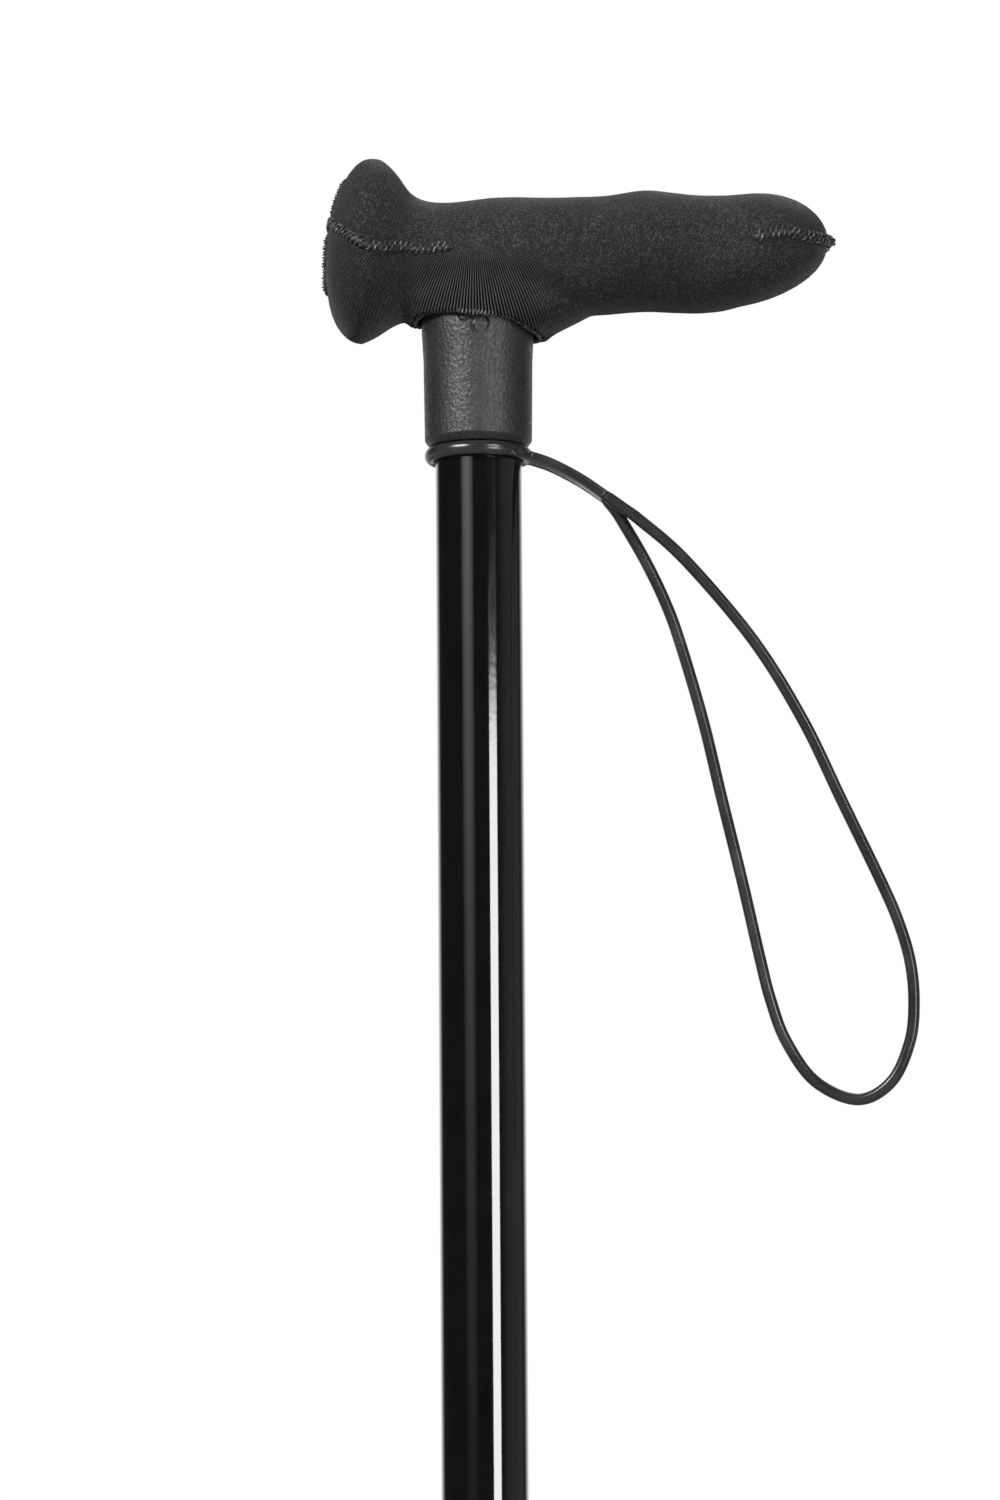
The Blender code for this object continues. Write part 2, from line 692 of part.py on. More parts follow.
def make_collar(parts, cutters):
    """The bush on the upper tube's lower end, and the grooved collar that turns on it."""
    lip_top = UPPER_TUBE_END_Z - GAP
    bush_profile = [
        (BUSH_OUT_R, BUSH_TOP_Z),
        (BUSH_OUT_R, BUSH_END_Z),
        (LOWER_TUBE_R + GAP, BUSH_END_Z),
        (LOWER_TUBE_R + GAP, lip_top),
        (BUSH_IN_R, lip_top),
        (BUSH_IN_R, BUSH_TOP_Z),
    ]
    nylon = material("collar_bush", "#232325", 0.5)
    turned("collar_bush", bush_profile, parts, nylon)

    lip_z = BUSH_END_Z - GAP
    collar_end = lip_z - COLLAR_LIP
    collar_profile = [
        (COLLAR_OUT_R - COLLAR_CHAMFER, BUSH_TOP_Z),
        (COLLAR_OUT_R, BUSH_TOP_Z - COLLAR_CHAMFER),
        (COLLAR_OUT_R, collar_end + COLLAR_TAPER * 1.5),
        (COLLAR_OUT_R - COLLAR_TAPER, collar_end),
        (LOWER_TUBE_R + GAP, collar_end),
        (LOWER_TUBE_R + GAP, lip_z),
        (COLLAR_IN_R, lip_z),
        (COLLAR_IN_R, BUSH_TOP_Z),
    ]
    plastic = material("locking_collar", "#1B1B1D", 0.45)
    collar = turned("locking_collar", collar_profile, parts, plastic, steps=COLLAR_GROOVES * 3)
    tall = BUSH_TOP_Z - collar_end
    place = COLLAR_OUT_R + COLLAR_GROOVE_R - COLLAR_GROOVE_DEPTH
    for i in range(COLLAR_GROOVES):
        angle = 2 * math.pi * (i + 0.5) / COLLAR_GROOVES
        bpy.ops.mesh.primitive_cylinder_add(
            vertices=8,
            radius=COLLAR_GROOVE_R,
            depth=tall - 2 * COLLAR_GROOVE_MARGIN,
            location=(
                place * math.cos(angle),
                place * math.sin(angle),
                (BUSH_TOP_Z + collar_end) / 2,
            ),
        )
        groove = bpy.context.object
        groove.name = f"collar_groove_{i}"
        move_to(groove, cutters)
        cut(collar, groove)


def make_strap(parts, cutters):
    """The moulded strap: a ring round the tube with its flat stem, and the free strand of its loop."""
    rubber = material("strap_ring", "#3A3A3C", 0.45)
    section = []
    for i in range(RING_SECTION_POINTS):
        angle = math.pi / 2 - 2 * math.pi * i / RING_SECTION_POINTS
        section.append((RING_R + RING_THICK / 2 * math.cos(angle), RING_TALL / 2 * math.sin(angle)))
    ring = turned("strap_ring", section, parts, rubber, (0, 0, RING_Z))
    ring_height = RING_Z - NECK_END_Z
    stem_points = [(RING_R + out, ring_height + up, 0) for out, up in STEM_ROUTE]
    route = [(p.x, p.y) for p in smooth_route(stem_points, STEM_STEP)]
    plane = Matrix.Translation((0, 0, NECK_END_Z)) @ Matrix(
        ((1, 0, 0, 0), (0, 0, 1, 0), (0, 1, 0, 0), (0, 0, 0, 1))
    )

    def half(share):
        return (STEM_THICK_AT_RING * (1 - share) + STEM_THICK_AT_FORK * share) / 2

    stem = ribbon("strap_stem_tool", route, half, STEM_WIDTH, cutters, None, plane)
    rounding = stem.modifiers.new("Rounding", "BEVEL")
    rounding.width = STEM_THICK_AT_RING * 0.35
    rounding.segments = 2
    rounding.limit_method = "ANGLE"
    rounding.angle_limit = math.radians(40)
    cut(ring, stem, "UNION")

    end = Vector((route[-1][0], 0, route[-1][1]))
    before = Vector((route[-2][0], 0, route[-2][1]))
    along = (end - before).normalized()
    start = end + along * GAP
    far_end = start + Vector((0, STRAND_SPACING / 2, 0))
    near_end = start - Vector((0, STRAND_SPACING / 2, 0))
    free = [far_end + along * STRAND_R]
    free += [Vector(p) for p in STRAND_ROUTE]
    free += [near_end + along * STRAND_R]
    strand = [far_end] + smooth_route(free, STRAND_STEP) + [near_end]
    tube_along("strap_loop", strand, STRAND_R, parts, material("strap_loop", "#38383A", 0.45))


def main():
    clear_scene()
    parts = new_collection("walking_cane")
    cutters = new_collection("cutters")
    make_grip(parts, cutters)
    make_seams(parts)
    make_upper_tube(parts, cutters)
    make_lower_tube(parts, cutters)
    make_button(parts)
    make_spring(parts)
    make_collar(parts, cutters)
    make_strap(parts, cutters)


main()
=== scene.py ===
"""The look of a height-adjustable walking cane with a knitted grip and a rubber wrist strap.

Everything is in metres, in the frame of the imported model: the origin is on the shaft's axis
at the floor, +Z is up, +X points to the grip's nose and -Y is the near side.
"""

import json
import logging
import math
from dataclasses import dataclass
from enum import Enum
from typing import Callable, Optional, Sequence

import bmesh
import bpy
from bpy.types import Light, Material, Node, NodeSocket, NodeTree, Object
from mathutils import Matrix, Vector, noise

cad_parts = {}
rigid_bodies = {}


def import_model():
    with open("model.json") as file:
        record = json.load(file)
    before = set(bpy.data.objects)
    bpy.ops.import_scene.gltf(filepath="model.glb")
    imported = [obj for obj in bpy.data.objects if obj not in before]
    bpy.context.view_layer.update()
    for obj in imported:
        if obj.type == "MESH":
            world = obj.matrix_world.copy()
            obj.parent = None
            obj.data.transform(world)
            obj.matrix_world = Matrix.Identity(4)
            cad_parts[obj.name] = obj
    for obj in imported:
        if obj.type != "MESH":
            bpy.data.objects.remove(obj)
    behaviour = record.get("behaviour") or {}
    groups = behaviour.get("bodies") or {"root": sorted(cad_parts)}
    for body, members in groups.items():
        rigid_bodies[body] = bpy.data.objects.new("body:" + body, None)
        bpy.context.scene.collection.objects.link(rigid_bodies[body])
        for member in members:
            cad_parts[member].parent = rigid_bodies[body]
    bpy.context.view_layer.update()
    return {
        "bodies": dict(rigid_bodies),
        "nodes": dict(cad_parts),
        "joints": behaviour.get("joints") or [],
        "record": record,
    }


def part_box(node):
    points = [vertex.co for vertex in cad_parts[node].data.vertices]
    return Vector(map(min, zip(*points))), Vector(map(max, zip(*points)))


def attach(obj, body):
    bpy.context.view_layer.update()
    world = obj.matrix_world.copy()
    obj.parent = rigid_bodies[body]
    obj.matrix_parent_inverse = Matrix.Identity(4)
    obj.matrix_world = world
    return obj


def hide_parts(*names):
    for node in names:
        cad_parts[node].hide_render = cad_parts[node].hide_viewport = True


LOG = logging.getLogger("walking_cane")
MM = 0.001

# the neck's lower end, from which the grip's and the strap's heights are measured
NECK_END = 0.826
# the snap button's middle, and the holes that it snaps into
BUTTON_HEIGHT = 0.440
HOLE_RADIUS = 0.0033
# the rounding of an edge that is only broken, not shaped
BROKEN = 0.0002
# a table of sizes, and a pair of them
Rows = tuple[tuple[float, ...], ...]
Span = tuple[float, float]
# the range that a noise mostly keeps to
NOISE_SPAN = {"From Min": 0.3, "From Max": 0.7}


class Body(Enum):
    """The moving bodies that the pieces ride on."""

    HANDLE = "handle"
    LOWER_SHAFT = "lower_shaft"
    BUTTON = "button"
    COLLAR = "collar"
    STRAP = "strap"


class Ends(Enum):
    """How a turned profile is closed."""

    BRIDGED = "bridged"
    CAPPED = "capped"


class Element(Enum):
    """What a selection in edit mode is made of."""

    EDGE = "EDGE"
    FACE = "FACE"


def linear(hex_colour: str) -> tuple[float, float, float, float]:
    """Turns an sRGB hex colour to linear.

    Args:
        hex_colour: The colour, such as "#2B2B2D".

    Returns:
        Red, green, blue and an alpha of 1.
    """
    channels = [int(hex_colour[i : i + 2], 16) / 255 for i in (1, 3, 5)]
    return (*[c / 12.92 if c <= 0.04045 else ((c + 0.055) / 1.055) ** 2.4 for c in channels], 1.0)


def smoothstep(low: float, high: float, at: float) -> float:
    """Rises smoothly from 0 to 1 as a value goes from low to high."""
    t = min(max((at - low) / (high - low), 0.0), 1.0)
    return t * t * (3 - 2 * t)


def falling(low: float, high: float, at: float) -> float:
    """Falls smoothly from 1 to 0 as a value goes from low to high."""
    return 1 - smoothstep(low, high, at)


def between(edges: Sequence[float], at: float) -> float:
    """Rises from 0 to 1 between the first two of four edges, and falls between the others."""
    return smoothstep(edges[0], edges[1], at) * falling(edges[2], edges[3], at)


def from_axis(point: Vector) -> float:
    """How far a point is from the shaft's axis."""
    return math.hypot(point.x, point.y)


def round_axis(radius: float, angle: float, height: float) -> Vector:
    """A point round the shaft; the angle is 0 on the near side, and rises to the nose."""
    return Vector((radius * math.sin(angle), -radius * math.cos(angle), height))


def circle(count: int) -> list[float]:
    """The angles of points that are evenly spaced round a circle."""
    return [2 * math.pi * i / count for i in range(count)]


def length_of(line: Sequence[Vector]) -> float:
    """The length of a line through some points."""
    return sum((b - a).length for a, b in zip(line, line[1:]))


def heading(line: Sequence[Vector], index: int) -> Vector:
    """The step from the point before one point of a line to the point after it."""
    return line[min(index + 1, len(line) - 1)] - line[max(index - 1, 0)]


def interpolated(rows: Sequence[Sequence[float]], at: float) -> list[float]:
    """Reads a smooth value from a table.

    Args:
        rows: The table, with the place in its first column.
        at: The place to read at.

    Returns:
        The value of each other column.
    """
    last = len(rows) - 1
    index = 0
    while index < last - 1 and at > rows[index + 1][0]:
        index += 1
    x0, x1 = rows[index][0], rows[index + 1][0]
    span = x1 - x0
    t = min(max((at - x0) / span, 0.0), 1.0)
    values = []
    for column in range(1, len(rows[0])):
        slopes = []
        for i in (index, index + 1):
            low, high = rows[max(i - 1, 0)], rows[min(i + 1, last)]
            slopes.append((high[column] - low[column]) / (high[0] - low[0]))
        a, b = rows[index][column], rows[index + 1][column]
        values.append(
            a * (1 + 2 * t) * (1 - t) ** 2
            + b * t * t * (3 - 2 * t)
            + slopes[0] * span * t * (1 - t) ** 2
            - slopes[1] * span * t * t * (1 - t)
        )
    return values


def smooth_route(points: Sequence[Sequence[float]], step: float) -> list[Vector]:
    """Runs a smooth curve through some points.

    Args:
        points: The points.
        step: The distance between the points of the result.

    Returns:
        Evenly spaced points along the curve, its two ends among them.
    """
    knots = [Vector(p) for p in points]
    parts = 12
    fine = []
    for i in range(len(knots) - 1):
        before = knots[i - 1] if i else knots[0] * 2 - knots[1]
        after = knots[i + 2] if i + 2 < len(knots) else knots[-1] * 2 - knots[-2]
        p, q = knots[i], knots[i + 1]
        for k in range(parts):
            t = k / parts
            bend = (2 * before - 5 * p + 4 * q - after) * t * t
            bend += (3 * p - before - 3 * q + after) * t**3
            fine.append((2 * p + (q - before) * t + bend) / 2)
    fine.append(knots[-1])
    length = length_of(fine)
    count = max(round(length / step), 2)
    pieces = [(b - a).length for a, b in zip(fine, fine[1:])]
    route, walked, index = [fine[0]], 0.0, 0
    for k in range(1, count):
        target = length * k / count
        while walked + pieces[index] < target:
            walked += pieces[index]
            index += 1
        share = (target - walked) / pieces[index]
        route.append(fine[index].lerp(fine[index + 1], share))
    route.append(fine[-1])
    return route


def fill_inputs(tree: NodeTree, node: Node, inputs: dict) -> None:
    """Fills a node's inputs.

    Args:
        tree: The node tree.
        node: The node.
        inputs: A value, or an output socket to link from, for each input by name or number.
    """
    for socket, value in inputs.items():
        if isinstance(value, NodeSocket):
            tree.links.new(value, node.inputs[socket])
        else:
            node.inputs[socket].default_value = value


def add_node(tree: NodeTree, kind: str, inputs: Optional[dict] = None, **settings: object) -> Node:
    """Adds a node, sets its properties and fills its inputs.

    Args:
        tree: The node tree.
        kind: The node's type name, without its ShaderNode prefix.
        inputs: What fills its inputs, as fill_inputs takes it.
        settings: The node's own properties.

    Returns:
        The new node.
    """
    node = tree.nodes.new("ShaderNode" + kind)
    for name, value in settings.items():
        setattr(node, name, value)
    fill_inputs(tree, node, inputs or {})
    return node


def select_only(obj: Object) -> None:
    """Leaves object mode as the mode, and one object selected and active."""
    if bpy.context.mode != "OBJECT":
        bpy.ops.object.mode_set(mode="OBJECT")
    bpy.ops.object.select_all(action="DESELECT")
    obj.select_set(True)
    bpy.context.view_layer.objects.active = obj


def bake_place() -> None:
    """Moves the selected object's place into its mesh."""
    bpy.ops.object.transform_apply(location=True, rotation=True, scale=True)


def apply_modifier(obj: Object, kind: str, **settings: object) -> None:
    """Adds a modifier with its settings, and applies it at once.

    Args:
        obj: The object.
        kind: The modifier's type name.
        settings: The modifier's properties.
    """
    select_only(obj)
    modifier = obj.modifiers.new(kind.title(), kind)
    for name, value in settings.items():
        setattr(modifier, name, value)
    bpy.ops.object.modifier_apply(modifier=modifier.name)


def join(pieces: Sequence[Object]) -> Object:
    """Joins objects into the first of them, and returns it."""
    select_only(pieces[0])
    for piece in pieces[1:]:
        piece.select_set(True)
    bpy.ops.object.join()
    return pieces[0]


def all_smooth(obj: Object) -> Object:
    """Shades the whole of an object smooth, and returns it."""
    select_only(obj)
    bpy.ops.object.shade_smooth()
    return obj


def settle(obj: Object, smooth_angle: float = 35.0) -> Object:
    """Moves an object's place into its mesh, and shades it.

    Args:
        obj: The finished object.
        smooth_angle: The angle in degrees above which an edge stays sharp.

    Returns:
        The same object.
    """
    select_only(obj)
    bake_place()
    bpy.ops.object.shade_smooth_by_angle(angle=math.radians(smooth_angle))
    # the large faces set the normals, so that a rounded edge doesn't tilt the wall beside it
    apply_modifier(obj, "WEIGHTED_NORMAL", keep_sharp=True, weight=100)
    return obj


class Edit:
    """Edit mode on one object, from which the edit operators are called."""

    merge_distance = 0.000002

    def __init__(self, obj: Object) -> None:
        """Keeps the object that is edited."""
        self.obj = obj

    def __enter__(self) -> "Edit":
        """Enters edit mode."""
        select_only(self.obj)
        bpy.ops.object.mode_set(mode="EDIT")
        return self

    def __exit__(self, *error: object) -> None:
        """Goes back to object mode."""
        bpy.ops.object.mode_set(mode="OBJECT")

    def pick(self, element: Element, test: Callable[[Vector], bool]) -> None:
        """Selects elements by place, and nothing else.

        Args:
            element: What is selected.
            test: Says of each end of an edge, or of a face's middle, whether it is in.
        """
        bpy.ops.mesh.select_mode(type=element.value)
        bpy.ops.mesh.select_all(action="DESELECT")
        mesh = bmesh.from_edit_mesh(self.obj.data)
        if element is Element.EDGE:
            for edge in mesh.edges:
                edge.select = all(test(vert.co) for vert in edge.verts)
        else:
            for face in mesh.faces:
                face.select = test(face.calc_center_median())
        mesh.select_flush_mode()
        bmesh.update_edit_mesh(self.obj.data)

    def tidy(self) -> None:
        """Merges doubles and turns every face outwards."""
        bpy.ops.mesh.select_all(action="SELECT")
        bpy.ops.mesh.remove_doubles(threshold=self.merge_distance)
        bpy.ops.mesh.normals_make_consistent(inside=False)


@dataclass(frozen=True)
class Corner:
    """One corner of a turned profile, and the width that its edge is rounded by."""

    radius: float
    height: float
    rounding: float = 0.0

    def holds(self, point: Vector) -> bool:
        """Says whether a point lies on the corner's ring, to 0.02 mm."""
        apart = max(abs(from_axis(point) - self.radius), abs(point.z - self.height))
        return apart < 0.02 * MM


def pipe(outer: float, bore: float, top: float, end: float) -> list[Corner]:
    """The profile of a pipe with broken edges.

    Args:
        outer: Its outer radius.
        bore: Its inner radius.
        top: The height of its upper end.
        end: The height of its lower end.

    Returns:
        Its corners, down the outside and up the inside.
    """
    corners = [(outer, top), (outer, end), (bore, end), (bore, top)]
    return [Corner(radius, height, BROKEN) for radius, height in corners]


def turn(name: str, profile: Sequence[Corner], ends: Ends, sides: int = 96) -> Object:
    """Turns a solid by hand: a circle is extruded and scaled from corner to corner.

    Args:
        name: The object's name.
        profile: The corners, in order along the profile.
        ends: How the two ends of the profile are closed.
        sides: The number of sides of the circle.

    Returns:
        The solid, with its edges rounded.
    """
    first = profile[0]
    bpy.ops.mesh.primitive_circle_add(
        vertices=sides, radius=first.radius, location=(0, 0, first.height), fill_type="NOTHING"
    )
    obj = bpy.context.object
    obj.name = name
    bake_place()
    with Edit(obj) as edit:
        bpy.ops.mesh.select_all(action="SELECT")
        if ends is Ends.CAPPED:
            bpy.ops.mesh.edge_face_add()
            bpy.ops.mesh.select_mode(type="EDGE")
        for last, corner in zip(profile, profile[1:]):
            edit.pick(Element.EDGE, last.holds)
            rise = (0, 0, corner.height - last.height)
            bpy.ops.mesh.extrude_edges_move(TRANSFORM_OT_translate={"value": rise})
            scale = corner.radius / last.radius
            bpy.ops.transform.resize(
                value=(scale, scale, 1), center_override=(0, 0, corner.height)
            )
        if ends is Ends.CAPPED:
            bpy.ops.mesh.edge_face_add()
        else:
            edit.pick(Element.EDGE, lambda p: profile[0].holds(p) or profile[-1].holds(p))
            bpy.ops.mesh.bridge_edge_loops()
        edit.tidy()
        for corner in profile:
            if corner.rounding:
                edit.pick(Element.EDGE, corner.holds)
                bpy.ops.mesh.bevel(offset=corner.rounding, segments=3, affect="EDGES")
        edit.tidy()
    return obj


def bead(
    name: str, points: Sequence[Vector], radius: float, sides: int = 2, closed: bool = False
) -> Object:
    """Lays a thread along some points.

    Args:
        name: The object's name.
        points: The points.
        radius: The thread's radius.
        sides: The curve's bevel resolution.
        closed: Whether the thread runs back to its first point.

    Returns:
        The thread as a mesh with closed ends.
    """
    curve = bpy.data.curves.new(name, "CURVE")
    curve.dimensions = "3D"
    curve.bevel_depth = radius
    curve.bevel_resolution = sides
    curve.use_fill_caps = True
    spline = curve.splines.new("POLY")
    spline.points.add(len(points) - 1)
    spline.use_cyclic_u = closed
    for target, point in zip(spline.points, points):
        target.co = (*point, 1)
    obj = bpy.data.objects.new(name, curve)
    bpy.context.scene.collection.objects.link(obj)
    select_only(obj)
    bpy.ops.object.convert(target="MESH")
    obj = bpy.context.object
    with Edit(obj) as edit:
        edit.tidy()
    return settle(obj, 60)


def mark(obj: Object, name: str, value: Callable[[Vector], float]) -> None:
    """Writes a value for each vertex, for the materials to read.

    Args:
        obj: The object.
        name: The attribute's name.
        value: Gives the value from the vertex's place.
    """
    attribute = obj.data.attributes.new(name, "FLOAT", "POINT")
    attribute.data.foreach_set("value", [value(v.co) for v in obj.data.vertices])


def place(
    obj: Object,
    material: Optional[Material],
    body: Body,
    nodes: Sequence[str] = (),
) -> Object:
    """Dresses a finished piece, and hangs it on its body.

    Args:
        obj: The piece.
        material: Its material, or None where it is dressed already.
        body: The body that it rides on.
        nodes: The CAD nodes that it stands for.

    Returns:
        The same piece.
    """
    if material:
        obj.data.materials.clear()
        obj.data.materials.append(material)
    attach(obj, body.value)
    if nodes:
        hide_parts(*nodes)
    LOG.info("%s: %d faces on %s", obj.name, len(obj.data.polygons), body.value)
    return obj


@dataclass(frozen=True)
class Finish:
    """What every finish has: a name, and the shader that its own nodes lead to."""

    name: str

    def begin(self) -> tuple[NodeTree, NodeSocket]:
        """Starts a material.

        Returns:
            The node tree and the Object coordinates.
        """
        material = bpy.data.materials.new(self.name)
        material.use_nodes = True
        tree = material.node_tree
        return tree, add_node(tree, "TexCoord").outputs["Object"]

    def finished(self, inputs: dict) -> Material:
        """Leads the nodes to the shader.

        Args:
            inputs: A value or an output socket for each input of the shader, by name.

        Returns:
            The material that begin() started.
        """
        material = bpy.data.materials[self.name]
        tree = material.node_tree
        fill_inputs(tree, tree.nodes["Principled BSDF"], inputs)
        return material


@dataclass(frozen=True)
class GlossEnamel(Finish):
    """Black stoving enamel on a drawn aluminium tube, sprayed and baked.

    To the eye it is near black, with sharp reflections that an orange peel of about 2 mm
    ripples a little, a thin haze of handling marks, and bare metal where edges rub.
    """

    colour: str = "#080809"
    worn: str = "#8C8D90"
    peel: float = 2.0 * MM
    haze: float = 14.0 * MM
    streak: float = MM / 0.9

    def material(self) -> Material:
        """Builds the material."""
        tree, where = self.begin()
        cloud = add_node(
            tree, "TexNoise", {"Vector": where, "Scale": 1 / self.haze, "Detail": 4.0}
        ).outputs["Fac"]
        # marks of handling run up and down the tube, so the pattern is drawn out along it
        drawn = add_node(
            tree, "Mapping", {"Vector": where, "Scale": (1.0, 1.0, 0.08)}
        ).outputs["Vector"]
        streaks = add_node(
            tree, "TexNoise", {"Vector": drawn, "Scale": 1 / self.streak, "Detail": 2.0}
        ).outputs["Fac"]
        tone = add_node(
            tree, "MapRange", {"Value": cloud, **NOISE_SPAN, "To Min": 0.75, "To Max": 1.5}
        ).outputs["Result"]
        paint = add_node(
            tree, "VectorMath", {0: linear(self.colour)[:3], "Scale": tone}, operation="SCALE"
        ).outputs["Vector"]
        rub = add_node(tree, "Attribute", attribute_name="wear").outputs["Fac"]
        chipped = add_node(tree, "Math", {0: rub, 1: streaks}, operation="MULTIPLY").outputs[0]
        bare = add_node(
            tree, "MapRange", {"Value": chipped, "From Min": 0.42, "From Max": 0.5}
        ).outputs["Result"]
        colour = add_node(
            tree, "Mix", {"Factor": bare, "A": paint, "B": linear(self.worn)}, data_type="RGBA"
        ).outputs["Result"]
        roughness = add_node(
            tree, "MapRange", {"Value": streaks, **NOISE_SPAN, "To Min": 0.06, "To Max": 0.1}
        ).outputs["Result"]
        ripple = add_node(
            tree, "TexNoise", {"Vector": where, "Scale": 1 / self.peel, "Detail": 1.0}
        ).outputs["Fac"]
        bump = add_node(
            tree, "Bump", {"Strength": 0.12, "Distance": 0.04 * MM, "Height": ripple}
        ).outputs["Normal"]
        return self.finished(
            {
                "Base Color": colour,
                "Metallic": bare,
                "Roughness": roughness,
                "Normal": bump,
                "Coat Normal": bump,
                "IOR": 1.55,
                "Coat Weight": 1.0,
                "Coat Roughness": 0.025,
                "Coat IOR": 1.6,
            }
        )


@dataclass(frozen=True)
class MouldedPlastic(Finish):
    """ABS, nylon or polyurethane, moulded in a tool with a fine spark-eroded grain.

    To the eye it is satin and mottled, with slight upright streaks where the melt flowed.
    The real grain is about 0.3 mm, and it is drawn coarser so that its glints show.
    """

    colour: str = "#222325"
    roughness: float = 0.46
    grain: float = 0.8 * MM
    mottle: float = 0.8
    flow: float = 0.85
    patch: float = 6.25 * MM
    grain_depth: float = 0.24 * MM

    def material(self) -> Material:
        """Builds the material."""
        tree, where = self.begin()
        drawn = add_node(
            tree, "Mapping", {"Vector": where, "Scale": (1.0, 1.0, self.flow)}
        ).outputs["Vector"]
        fine = add_node(
            tree,
            "TexNoise",
            {"Vector": drawn, "Scale": 1 / self.grain, "Detail": 2.0, "Roughness": 0.6},
        ).outputs["Fac"]
        broad = add_node(
            tree, "TexNoise", {"Vector": drawn, "Scale": 1 / self.patch, "Detail": 3.0}
        ).outputs["Fac"]
        both = add_node(tree, "Mix", {"Factor": 0.18, "A": fine, "B": broad}).outputs["Result"]
        tone = add_node(
            tree,
            "MapRange",
            {"Value": both, **NOISE_SPAN, "To Min": 1 - self.mottle, "To Max": 1 + self.mottle},
        ).outputs["Result"]
        colour = add_node(
            tree, "VectorMath", {0: linear(self.colour)[:3], "Scale": tone}, operation="SCALE"
        ).outputs["Vector"]
        rough = self.roughness
        gloss = add_node(
            tree,
            "MapRange",
            {"Value": fine, **NOISE_SPAN, "To Min": rough + 0.14, "To Max": rough - 0.14},
        ).outputs["Result"]
        bump = add_node(
            tree, "Bump", {"Strength": 1.0, "Distance": self.grain_depth, "Height": fine}
        ).outputs["Normal"]
        return self.finished(
            {"Base Color": colour, "Roughness": gloss, "Normal": bump, "IOR": 1.52}
        )


@dataclass(frozen=True)
class MouldedRubber(Finish):
    """Thermoplastic or vulcanised rubber, moulded in a polished or a ground tool.

    To the eye it is dark grey with soft long highlights, faintly uneven, and it holds a
    little pale dust.
    """

    colour: str = "#262628"
    dust: str = "#6E6D6A"
    dusting: float = 0.1
    roughness: float = 0.22
    grain: float = 0.5 * MM
    cloud: float = MM / 0.11

    def material(self) -> Material:
        """Builds the material."""
        tree, where = self.begin()
        grain = add_node(
            tree, "TexNoise", {"Vector": where, "Scale": 1 / self.grain, "Detail": 3.0}
        ).outputs["Fac"]
        cloud = add_node(
            tree, "TexNoise", {"Vector": where, "Scale": 1 / self.cloud, "Detail": 4.0}
        ).outputs["Fac"]
        dusty = add_node(
            tree,
            "MapRange",
            {"Value": cloud, "From Min": 0.48, "From Max": 0.75, "To Max": self.dusting},
        ).outputs["Result"]
        colour = add_node(
            tree,
            "Mix",
            {"Factor": dusty, "A": linear(self.colour), "B": linear(self.dust)},
            data_type="RGBA",
        ).outputs["Result"]
        rough = self.roughness
        gloss = add_node(
            tree,
            "MapRange",
            {"Value": cloud, **NOISE_SPAN, "To Min": rough - 0.03, "To Max": rough + 0.06},
        ).outputs["Result"]
        bump = add_node(
            tree, "Bump", {"Strength": 0.2, "Distance": 0.01 * MM, "Height": grain}
        ).outputs["Normal"]
        return self.finished(
            {"Base Color": colour, "Roughness": gloss, "Normal": bump, "IOR": 1.52}
        )


